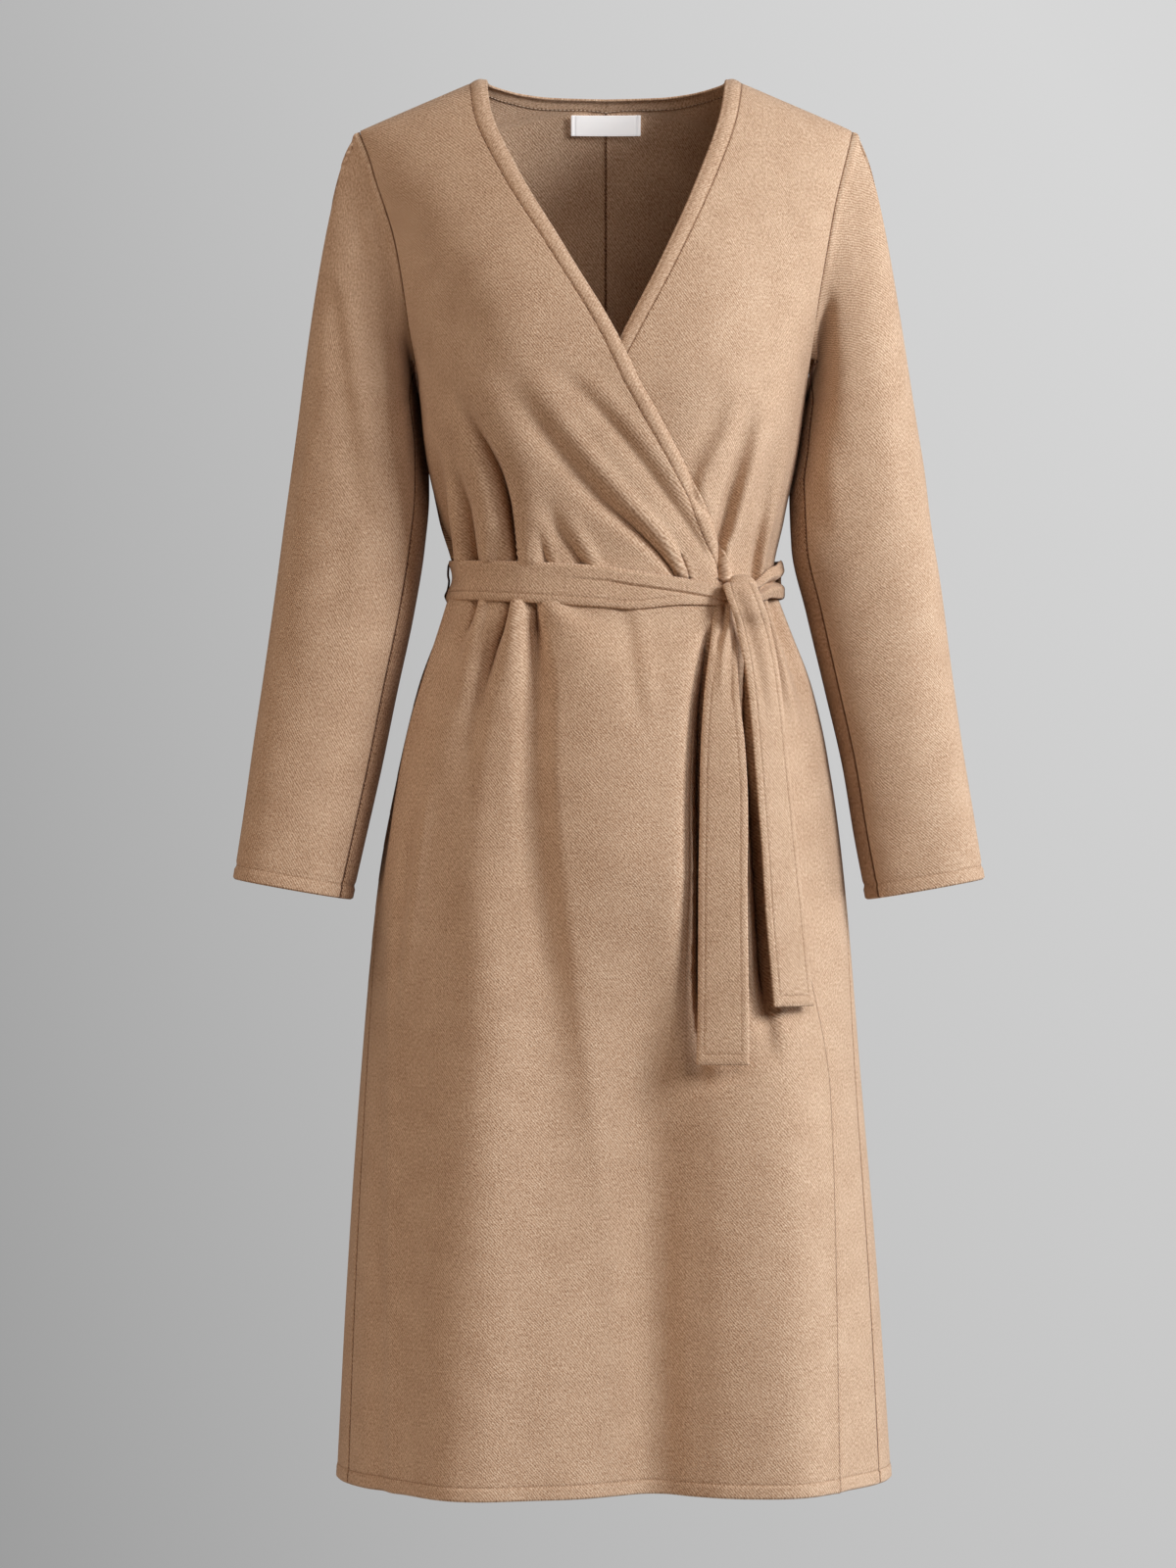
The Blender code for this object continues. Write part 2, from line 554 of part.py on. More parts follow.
def build_knot():
    """The pulled-tight half knot: a squarish lump, pinched at its middle."""
    point, normal = surface(turn_of(KNOT_X, KNOT_Z), KNOT_Z)
    wide, deep, high = KNOT_HALF
    centre = point + normal * (deep + 0.0068)
    rings, around = 9, 14
    grid = []
    for i in range(1, rings):
        lean = math.pi * i / rings
        for j in range(around):
            angle = 2 * math.pi * j / around
            pinch = 1 - 0.10 * math.cos(lean) ** 2 * abs(math.cos(angle))
            across = math.copysign(abs(math.cos(angle)) ** 0.8, math.cos(angle))
            out = math.copysign(abs(math.sin(angle)) ** 0.8, math.sin(angle))
            size = math.sin(lean) ** 0.7
            upright = math.copysign(abs(math.cos(lean)) ** 0.8, math.cos(lean))
            grid.append((wide * size * across * pinch, deep * size * out, high * upright))
    points = [(0.0, 0.0, high)] + grid + [(0.0, 0.0, -high)]
    last = len(points) - 1
    faces = []
    for j in range(around):
        k = (j + 1) % around
        faces.append([0, 1 + j, 1 + k])
        for i in range(rings - 2):
            a, b = 1 + i * around, 1 + (i + 1) * around
            faces.append([a + j, b + j, b + k, a + k])
        low = 1 + (rings - 2) * around
        faces.append([last, low + k, low + j])
    placed = [centre + np.array(p) for p in points]
    new_piece("belt_knot", placed, faces, WOOL)


# The two hanging ends: centre line and clearance in front of the skirt, width, and
# the way that the end faces, in degrees towards the wearer's left.
TAIL = ("z", "x", "clear", "width", "facing")
LONG_TAIL = [
    (-0.4190, 0.0935, 0.010, 0.018, 10),
    (-0.4420, 0.0915, 0.014, 0.024, 6),
    (-0.4850, 0.0905, 0.015, 0.031, 2),
    (-0.5400, 0.0905, 0.016, 0.036, 0),
    (-0.6200, 0.0900, 0.017, 0.038, -3),
    (-0.7000, 0.0898, 0.018, 0.038, -3),
    (-0.7745, 0.0896, 0.018, 0.039, -3),
]
SHORT_TAIL = [
    (-0.4190, 0.1110, 0.027, 0.022, 16),
    (-0.4420, 0.1176, 0.023, 0.025, 24),
    (-0.4850, 0.1245, 0.018, 0.030, 32),
    (-0.5400, 0.1316, 0.016, 0.035, 38),
    (-0.6000, 0.1365, 0.015, 0.038, 38),
    (-0.6650, 0.1422, 0.014, 0.040, 36),
    (-0.7290, 0.1482, 0.014, 0.040, 33),
]


def build_tail(name, table):
    line = column_curves(TAIL, table)
    z = np.linspace(table[0][0], table[-1][0], 13)
    x = line["x"](z)
    on_skirt = surface(turn_of(x, z), z)[0]
    centre = np.stack([x, on_skirt[:, 1] - line["clear"](z), z], axis=-1)
    facing = np.radians(line["facing"](z))
    across = np.stack([np.cos(facing), np.sin(facing), np.zeros_like(z)], axis=-1)
    out = np.stack([np.sin(facing), -np.cos(facing), np.zeros_like(z)], axis=-1)
    half = line["width"](z)[:, None, None] / 2
    shares = np.array([-1.0, 0.0, 1.0])[None, :, None]
    bow = 0.0012 * (1 - np.abs(shares))
    outside = centre[:, None, :] + half * shares * across[:, None, :] + bow * out[:, None, :]
    wall(name, outside, outside - BELT_WALL * out[:, None, :])


def build_belt_loop():
    """A thread carrier at the right side seam: it stands off the belt that runs through it."""
    reach = [(-0.3620, 0.0008), (-0.3665, 0.0062), (-0.3870, 0.0082), (-0.4075, 0.0062), (-0.4120, 0.0008)]
    half_width, thick = 0.0018, 0.0010
    outside, inside = [], []
    for z, stand in reach:
        for target, level in ((outside, stand + thick), (inside, stand)):
            x = -BODY["right_side"](z) - level
            target.append([(x, half_width, z), (x, -half_width, z)])
    wall("belt_loop", np.array(outside), np.array(inside))


def build_label():
    """The blank woven label, stitched inside the back below the neck band."""
    width, height = 0.058, 0.016
    xs = np.linspace(width / 2, -width / 2, 5)[None, :]
    zs = np.array([0.0025, -0.0055, 0.0025 - height])[:, None]
    rows = row_of(xs, zs)
    turns = turn_of(np.where(xs == 0, 1e-6, xs), rows, behind=True)
    turns = np.where(turns < 0, turns + 2 * math.pi, turns)
    inner = -BAND_WALL - 0.0025
    body_wall("neck_label", turns, rows, inner, 0.0006, SHOULDER_SHIFT, WOVEN_LABEL)


def main():
    for old in list(bpy.data.objects):
        bpy.data.objects.remove(old, do_unlink=True)
    build_fronts()
    build_backs()
    build_bands()
    build_sleeves()
    build_belt()
    build_knot()
    build_tail("belt_tail_long", LONG_TAIL)
    build_tail("belt_tail_short", SHORT_TAIL)
    build_belt_loop()
    build_label()


main()
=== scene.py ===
import math

import bpy
import numpy as np
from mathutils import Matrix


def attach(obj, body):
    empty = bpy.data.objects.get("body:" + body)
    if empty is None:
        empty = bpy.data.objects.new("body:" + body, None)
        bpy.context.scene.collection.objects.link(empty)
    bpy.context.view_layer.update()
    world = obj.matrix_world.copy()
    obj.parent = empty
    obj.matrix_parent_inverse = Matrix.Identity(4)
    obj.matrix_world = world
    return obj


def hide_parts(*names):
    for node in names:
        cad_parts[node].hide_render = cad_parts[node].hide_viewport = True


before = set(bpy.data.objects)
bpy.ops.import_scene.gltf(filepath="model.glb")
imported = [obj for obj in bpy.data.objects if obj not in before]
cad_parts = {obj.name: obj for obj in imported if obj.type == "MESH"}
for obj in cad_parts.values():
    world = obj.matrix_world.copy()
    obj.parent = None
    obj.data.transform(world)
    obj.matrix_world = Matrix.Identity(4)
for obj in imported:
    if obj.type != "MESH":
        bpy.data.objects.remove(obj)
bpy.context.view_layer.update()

# Metres, z up, x to the wearer's left, the front towards -y.

camera = {"place": (-0.0148, -4.0, -0.5536), "lens": 112.5, "sensor": 36.0}
floor = {
    "z": -1.46,
    "radius": 1.25,
    "solidTo": 0.55,  # share of the radius from which it starts to fade out
    "goneAt": 0.97,
    "sides": 96,
    "colour": (0.55, 0.55, 0.545),
    "roughness": 0.9,
    "specular": 0.1,
}
background = {
    "middle": 0.548,  # brightness straight behind the dress
    "across": 1.00,  # rises towards the dress's left
    "up": 0.42,
    "bend": -2.3,
    "darkest": 0.30,
    "brightest": 0.68,
}
lights = {
    # turn is degrees from the front towards the dress's left, height degrees above level
    "distance": 3.6,
    "aim": (0.0, 0.0, -0.55),
    "key": {"turn": 56, "height": 24, "size": (1.2, 1.4), "watts": 111, "colour": (1.0, 0.995, 0.985)},
    "side": {"turn": 95, "height": -6, "size": (1.6, 2.0), "watts": 54, "colour": (0.97, 0.985, 1.0)},
    "front": {"turn": 22, "height": 28, "size": (1.4, 1.4), "watts": 24, "colour": (1.0, 0.86, 0.76)},
    "fill": {"turn": -50, "height": -18, "size": (1.8, 1.8), "watts": 25, "colour": (1.0, 0.72, 0.51)},
    "far": {"turn": -75, "height": 45, "size": (1.8, 1.8), "watts": 33, "colour": (1.0, 0.84, 0.70)},
    "room": {"strength": 0.035, "colour": (1.0, 0.55, 0.34)},
}


class Wire:
    # one output of a node; arithmetic on it adds Math nodes
    def __init__(self, shading, socket):
        self.shading = shading
        self.socket = socket

    def maths(self, operation, *values):
        return self.shading.add("ShaderNodeMath", {"operation": operation}, dict(enumerate(values)))

    def __add__(self, other):
        return self.maths("ADD", self, other)

    def __radd__(self, other):
        return self.maths("ADD", other, self)

    def __sub__(self, other):
        return self.maths("SUBTRACT", self, other)

    def __rsub__(self, other):
        return self.maths("SUBTRACT", other, self)

    def __mul__(self, other):
        return self.maths("MULTIPLY", self, other)

    def __truediv__(self, other):
        return self.maths("DIVIDE", self, other)

    def sine(self):
        return self.maths("SINE", self)

    def size(self):
        return self.maths("ABSOLUTE", self)

    def whole(self):
        return self.maths("FLOOR", self)

    def atLeast(self, other):
        return self.maths("MAXIMUM", self, other)

    def atMost(self, other):
        return self.maths("MINIMUM", self, other)

    def eased(self, low, high):
        # 0 at low, 1 at high
        settings = {"interpolation_type": "SMOOTHSTEP"}
        inputs = {"Value": self, "From Min": low, "From Max": high}
        return self.shading.add("ShaderNodeMapRange", settings, inputs)


class Shading:
    # adds nodes to a tree: type, settings, then values or links of its sockets
    def __init__(self, tree):
        self.tree = tree

    def node(self, kind, settings, inputs):
        made = self.tree.nodes.new(kind)
        for name, value in settings.items():
            if name == "stops":
                self.setStops(made.color_ramp, value)
            else:
                setattr(made, name, value)
        for name, value in inputs.items():
            if isinstance(value, Wire):
                self.tree.links.new(value.socket, made.inputs[name])
            else:
                made.inputs[name].default_value = value
        return made

    def setStops(self, ramp, stops):
        while len(ramp.elements) < len(stops):
            ramp.elements.new(0.5)
        for element, (place, colour) in zip(ramp.elements, stops):
            element.position = place
            element.color = (*colour, 1.0)

    def add(self, kind, settings, inputs, output=0):
        return Wire(self, self.node(kind, settings, inputs).outputs[output])

    def parts(self, vector):
        split = self.node("ShaderNodeSeparateXYZ", {}, {"Vector": vector})
        return [Wire(self, split.outputs[i]) for i in range(3)]

    def point(self, x, y, z=0.0):
        return self.add("ShaderNodeCombineXYZ", {}, {"X": x, "Y": y, "Z": z})

    def noise(self, vector, scale, detail=2.0, roughness=0.5):
        inputs = {"Vector": vector, "Scale": scale, "Detail": detail, "Roughness": roughness}
        return self.add("ShaderNodeTexNoise", {"noise_dimensions": "3D"}, inputs)

    def blend(self, share, first, second):
        settings = {"data_type": "RGBA", "blend_type": "MIX"}
        return self.add("ShaderNodeMix", settings, {0: share, 6: (*first, 1.0), 7: (*second, 1.0)}, output=2)

    def feed(self, wire, socket):
        self.tree.links.new(wire.socket, socket)


def buildCamera():
    data = bpy.data.cameras.new("camera")
    data.lens = camera["lens"]
    data.sensor_width = camera["sensor"]
    viewer = bpy.data.objects.new("camera", data)
    viewer.location = camera["place"]
    viewer.rotation_euler = (math.radians(90), 0.0, 0.0)
    bpy.context.scene.collection.objects.link(viewer)
    bpy.context.scene.camera = viewer


def buildLight(name):
    look = lights[name]
    turn, height = math.radians(look["turn"]), math.radians(look["height"])
    data = bpy.data.lights.new(name, "AREA")
    data.shape = "RECTANGLE"
    data.size, data.size_y = look["size"]
    data.energy = look["watts"]
    data.color = look["colour"]
    away = np.array([math.sin(turn) * math.cos(height), -math.cos(turn) * math.cos(height), math.sin(height)])
    lamp = bpy.data.objects.new(name, data)
    lamp.location = np.array(lights["aim"]) + lights["distance"] * away
    lamp.rotation_euler = (math.pi / 2 - height, 0.0, turn)
    bpy.context.scene.collection.objects.link(lamp)


def buildWorld():
    world = bpy.data.worlds.new("studio")
    bpy.context.scene.world = world
    world.use_nodes = True
    world.node_tree.nodes.clear()
    room = Shading(world.node_tree)
    ray = room.add("ShaderNodeTexCoord", {}, {}, output=0)
    across, deep, up = room.parts(ray)
    sideways = across * deep * deep
    grey = (
        background["middle"]
        + sideways * background["across"]
        + up * background["up"]
        + sideways * sideways * background["bend"]
    )
    grey = grey.atLeast(background["darkest"]).atMost(background["brightest"])
    shown = room.add("ShaderNodeBackground", {}, {"Color": (1.0, 1.0, 1.0, 1.0), "Strength": grey})
    look = lights["room"]
    colour = (*look["colour"], 1.0)
    lit = room.add("ShaderNodeBackground", {}, {"Color": colour, "Strength": look["strength"]})
    path = room.node("ShaderNodeLightPath", {}, {})
    isSeen = Wire(room, path.outputs["Is Camera Ray"])
    for kind in ("Is Glossy Ray", "Is Transmission Ray"):
        isSeen = isSeen.atLeast(Wire(room, path.outputs[kind]))
    both = room.add("ShaderNodeMixShader", {}, {0: isSeen, 1: lit, 2: shown})
    room.node("ShaderNodeOutputWorld", {}, {"Surface": both})


def newMaterial(name, roughness, specular, sheen=0.0, sheenRoughness=0.5, sheenTint=(1.0, 1.0, 1.0)):
    made = bpy.data.materials.new(name)
    made.use_nodes = True
    shader = made.node_tree.nodes["Principled BSDF"]
    shader.inputs["Roughness"].default_value = roughness
    shader.inputs["Specular IOR Level"].default_value = specular
    shader.inputs["Sheen Weight"].default_value = sheen
    shader.inputs["Sheen Roughness"].default_value = sheenRoughness
    shader.inputs["Sheen Tint"].default_value = (*sheenTint, 1.0)
    return made, Shading(made.node_tree), shader


def buildFloor():
    # a disc that fades into the background
    sides = floor["sides"]
    mesh = bpy.data.meshes.new("floor")
    angles = [2 * math.pi * i / sides for i in range(sides)]
    rim = [(floor["radius"] * math.cos(a), floor["radius"] * math.sin(a), floor["z"]) for a in angles]
    faces = [(0, 1 + i, 1 + (i + 1) % sides) for i in range(sides)]
    mesh.from_pydata([(0.0, 0.0, floor["z"])] + rim, [], faces)
    disc = bpy.data.objects.new("floor", mesh)
    bpy.context.scene.collection.objects.link(disc)
    made, ground, shader = newMaterial("pale floor", floor["roughness"], floor["specular"])
    shader.inputs["Base Color"].default_value = (*floor["colour"], 1.0)
    place = ground.add("ShaderNodeTexCoord", {}, {}, output=3)
    x, y = ground.parts(place)[:2]
    far = (x * x + y * y) / floor["radius"] ** 2
    ground.feed(1.0 - far.eased(floor["solidTo"] ** 2, floor["goneAt"]), shader.inputs["Alpha"])
    mesh.materials.append(made)


buildCamera()
buildWorld()
buildFloor()
for lightName in ("key", "side", "front", "fill", "far"):
    buildLight(lightName)
bpy.context.scene.view_settings.view_transform = "Standard"
print("studio ready")

wool = {
    "tones": [(0.090, 0.043, 0.026), (0.290, 0.163, 0.093), (0.572, 0.392, 0.270), (0.890, 0.720, 0.552)],
    "tonesAt": (0.0, 0.16, 0.5, 0.90),
    "pitch": 0.0018,  # between twill lines
    "slope": 50,  # of the twill lines, in degrees
    "wander": 0.0024,  # how far a twill line strays
    "float": 0.0050,  # length of one slub in a rib
    "slub": (0.6, 0.8),  # a rib's least strength, and how much a slub adds
    # the sewn shade is painted shade: in seam grooves, on inside faces and on the sleeves beside the body
    "shades": {"rib": 0.26, "fine": 0.75, "fleck": 0.80, "cloud": 0.22, "stitch": 0.03, "sewn": 0.55},
    "heights": {"rib": 0.4, "fine": 0.9, "fleck": 0.8, "stitch": 0.7},
    "scales": {"wander": 110.0, "fine": 1500.0, "fleck": 560.0, "cloud": 36.0},
    "stitchGroove": (0.0003, 0.0014),
    "relief": 0.0004,
    "finish": {
        "roughness": 0.90,
        "specular": 0.20,
        "sheen": 0.22,
        "sheenRoughness": 0.45,
        "sheenTint": (1.0, 0.93, 0.86),
    },
    "foldedRibs": 0.55,  # the twill shows less where the cloth is pressed into a fold
}
thread = {
    "colours": {
        "brown sewing thread": (0.085, 0.040, 0.022),
        # the dark beads at the needle holes are painted shade
        "needle hole shade": (0.190, 0.100, 0.058),
        "cream sewing thread": (0.700, 0.560, 0.430),
        "camel sewing thread": (0.500, 0.320, 0.200),
        "white sewing thread": (0.720, 0.725, 0.740),
    },
    "range": (0.72, 1.15),  # its darkest and lightest, as shares of its colour
    "plyScale": 2600.0,
    "relief": 0.0002,
    "finish": {"roughness": 0.75, "specular": 0.25, "sheen": 0.2},
}
labelCloth = {
    "colour": (0.915, 0.920, 0.935),
    "range": (0.88, 1.08),
    "rib": 0.0006,
    "shades": {"rib": 0.15, "grain": 0.40, "soil": 0.45, "stitch": 0.25},
    "heights": {"rib": 0.25, "grain": 0.4},
    "scales": {"grain": 2400.0, "soil": 90.0},
    "stitchGroove": (0.0002, 0.0009),
    "relief": 0.0002,
    "paintedGlow": 0.42,  # painted light: the label glows a little, so that it shows brighter than the light falling on it makes it
    "paintedGlowTint": (0.95, 0.97, 1.0, 1.0),
    "finish": {"roughness": 0.45, "specular": 0.5, "sheen": 0.6},
}


def weaveParts(shading):
    # cloth lengths across and along, and the distance from the nearest stitched line
    return shading.parts(shading.add("ShaderNodeAttribute", {"attribute_name": "weave"}, {}, output=1))


def between(shading, share, colour, span):
    # a colour made darker and lighter, from the low end of its span to the high end
    dark, light = [[min(c * factor, 1.0) for c in colour] for factor in span]
    return shading.blend(share, dark, light)


def addBump(shading, shader, height, relief, strength):
    bump = shading.add("ShaderNodeBump", {}, {"Strength": strength, "Distance": relief, "Height": height})
    shading.feed(bump, shader.inputs["Normal"])


def buildWool(name, ribs=1.0):
    look, shades, heights, scales = wool, wool["shades"], wool["heights"], wool["scales"]
    made, cloth, shader = newMaterial(name, **look["finish"])
    across, along, fromStitch = weaveParts(cloth)
    wander = cloth.noise(cloth.point(across, along), scales["wander"], detail=1.0) - 0.5
    slope = math.radians(look["slope"])
    line = (across * math.sin(slope) - along * math.cos(slope) + wander * look["wander"]) / look["pitch"]
    rib = (line * (2 * math.pi)).sine() * 0.5 + 0.5
    run = (across * math.cos(slope) + along * math.sin(slope)) / look["float"]
    slub = cloth.noise(cloth.point(run, line.whole() * 3.7), 1.0, detail=1.0)
    least, more = look["slub"]
    yarn = rib * (slub * more + least)
    # sewn darkens the cloth with painted shade: in seam grooves, on inside faces and beside the body, less
    # atop the armholes
    sewn = cloth.add("ShaderNodeAttribute", {"attribute_name": "sewn"}, {}, output=2)
    fine = cloth.noise(cloth.point(across, along * 0.75), scales["fine"], detail=2.0, roughness=0.65)
    fleck = cloth.noise(cloth.point(across, along * 0.8, 3.0), scales["fleck"], detail=1.5, roughness=0.6)
    cloud = cloth.noise(cloth.point(across, along, 7.0), scales["cloud"], detail=3.0, roughness=0.55)
    # the stitch groove is also painted darker: painted shade in the groove, besides its dip in the bump
    groove = 1.0 - fromStitch.size().eased(*look["stitchGroove"])
    tone = (
        0.5
        + (yarn - 0.42) * (shades["rib"] * ribs)
        + (fine - 0.5) * shades["fine"]
        + (fleck - 0.5) * shades["fleck"]
        + (cloud - 0.5) * shades["cloud"]
        - groove * shades["stitch"]
        - sewn * shades["sewn"]
    )
    stops = list(zip(look["tonesAt"], look["tones"]))
    cloth.feed(cloth.add("ShaderNodeValToRGB", {"stops": stops}, {0: tone}), shader.inputs["Base Color"])
    height = yarn * (heights["rib"] * ribs) + fine * heights["fine"] + fleck * heights["fleck"]
    addBump(cloth, shader, height - groove * heights["stitch"], look["relief"], 1.0)
    return made


def buildThread(name, colour):
    made, yarn, shader = newMaterial(name, **thread["finish"])
    place = yarn.add("ShaderNodeTexCoord", {}, {}, output=3)
    ply = yarn.noise(place, thread["plyScale"], detail=1.0)
    yarn.feed(between(yarn, ply.eased(0.35, 0.7), colour, thread["range"]), shader.inputs["Base Color"])
    addBump(yarn, shader, ply, thread["relief"], 0.6)
    return made


def buildLabelCloth():
    look, shades, heights = labelCloth, labelCloth["shades"], labelCloth["heights"]
    made, satin, shader = newMaterial("woven label", **look["finish"])
    # painted light: a faint glow that brightens the label
    shader.inputs["Emission Color"].default_value = look["paintedGlowTint"]
    shader.inputs["Emission Strength"].default_value = look["paintedGlow"]
    across, along, fromStitch = weaveParts(satin)
    rib = (along * (2 * math.pi / look["rib"])).sine() * 0.5 + 0.5
    grain = satin.noise(satin.point(across * 0.3, along), look["scales"]["grain"], detail=1.0)
    soil = satin.noise(satin.point(across, along, 2.0), look["scales"]["soil"], detail=2.0)
    # the stitch groove is also painted darker: painted shade in the groove, besides its dip in the bump
    groove = 1.0 - fromStitch.size().eased(*look["stitchGroove"])
    tone = rib * shades["rib"] + grain * shades["grain"] + soil * shades["soil"] - groove * shades["stitch"]
    colour = between(satin, tone.eased(0.1, 0.9), look["colour"], look["range"])
    satin.feed(colour, shader.inputs["Base Color"])
    addBump(satin, shader, rib * heights["rib"] + grain * heights["grain"] - groove, look["relief"], 0.5)
    return made


camelWool = buildWool("camel wool twill")
pressedWool = buildWool("camel wool, folded edge", wool["foldedRibs"])
threads = {name: buildThread(name, colour) for name, colour in thread["colours"].items()}
whiteSatin = buildLabelCloth()
print("materials ready")

# The surface that all cloth pieces share. Turn is the angle round the body, 0 at the centre
# front; row is the height at which a row of the surface meets the side. Rows slope up to the
# shoulder seam.
body = {
    "cloth": 0.0014,
    "neckX": 0.0990,
    "neckZ": 0.0225,
    "shoulderX": 0.2020,
    "shoulderZ": -0.0210,
    "underarmZ": -0.2340,
    "hemZ": -1.1160,
    "square": 2.15,  # 2 is an ellipse, more is squarer
    "frontRound": 0.42,
    "backRound": 0.33,
    "centreRound": 0.080,
    "hollowDeep": 1.15,
    "pleatSideways": 0.30,  # how much of the surface's own slant a pleat follows
    "underBelt": 0.0036,  # the most a crest may stand under the belt
    "heldFrom": (0.127, 0.014),  # no crest under the belt further right than this, and over what width
    "formClear": (0.015, 0.010),  # forms start this far from the belt's middle, over this height
    "pleatClear": (0.014, 0.005),
    "uprightOver": 0.02,  # seams stand upright on the shoulder over this share of the way down
    "rowSteps": [
        (-0.3560, 0.0026), (-0.4240, 0.0020), (-0.5600, 0.0032), (-1.1000, 0.0056), (-1.1160, 0.0012),
    ],
    "upperRows": 74,
    "scoop": 20,  # degrees that the armhole cuts in from the side
    "sections": [  # row, right side, left side, front, back
        (-0.0210, 0.2020, 0.2015, 0.105, 0.092),
        (-0.0480, 0.1968, 0.1992, 0.108, 0.098),
        (-0.0750, 0.1932, 0.1966, 0.110, 0.102),
        (-0.1210, 0.1838, 0.1909, 0.116, 0.106),
        (-0.1810, 0.1671, 0.1767, 0.124, 0.107),
        (-0.2340, 0.1515, 0.1625, 0.126, 0.105),
        (-0.2820, 0.1468, 0.1556, 0.121, 0.102),
        (-0.3380, 0.1364, 0.1452, 0.111, 0.097),
        (-0.3870, 0.1242, 0.1360, 0.104, 0.092),
        (-0.4100, 0.1300, 0.1420, 0.106, 0.096),
        (-0.4740, 0.1532, 0.1668, 0.120, 0.110),
        (-0.5540, 0.1720, 0.1844, 0.129, 0.122),
        (-0.6340, 0.1860, 0.1944, 0.134, 0.127),
        (-0.7940, 0.2004, 0.2076, 0.139, 0.129),
        (-0.9540, 0.2112, 0.2212, 0.144, 0.131),
        (-1.1160, 0.2196, 0.2322, 0.148, 0.133),
    ],
    "sideSeam": [(-0.2340, 90), (-0.50, 88), (-0.78, 76), (-1.1160, 71)],
}

# Folds, in millimetres: x, z, lift and half width, from each one's top down.
# A form is a round swelling, or a hollow where its lift is negative. A pleat has its
# hollow towards the dress's right and its crest towards the left.
frontForms = {
    "right bust": [(-78, -80, 0, 50), (-82, -150, 6, 50), (-82, -230, 8, 50), (-78, -330, 0, 50)],
    "left bust": [(84, -80, 0, 50), (88, -150, 6, 50), (88, -230, 8, 50), (84, -330, 0, 50)],
    "upper chest left": [(130, -50, 0, 30), (128, -130, -2.2, 30), (138, -230, 0, 30)],
    "upper chest right": [(-172, -60, 0, 18), (-152, -120, -5, 22), (-116, -180, -5, 24), (-84, -240, 0, 24)],
    "right lobe": [(-100, -620, 0, 36), (-106, -860, 20, 36), (-112, -1120, 24, 36)],
    "middle hollow": [(30, -620, 0, 45), (34, -860, -28, 45), (35, -1120, -34, 45)],
    "left lobe": [(140, -640, 0, 30), (148, -880, 10, 30), (150, -1120, 12, 30)],
    "side crest": [(178, -700, 0, 7), (181, -860, 1.6, 7), (183, -1120, 2.2, 7)],
    "crisp crest": [(-71, -404, 0, 5), (-70, -440, 1.5, 5), (-75, -540, 1.8, 7), (-78, -640, 0, 10)],
}
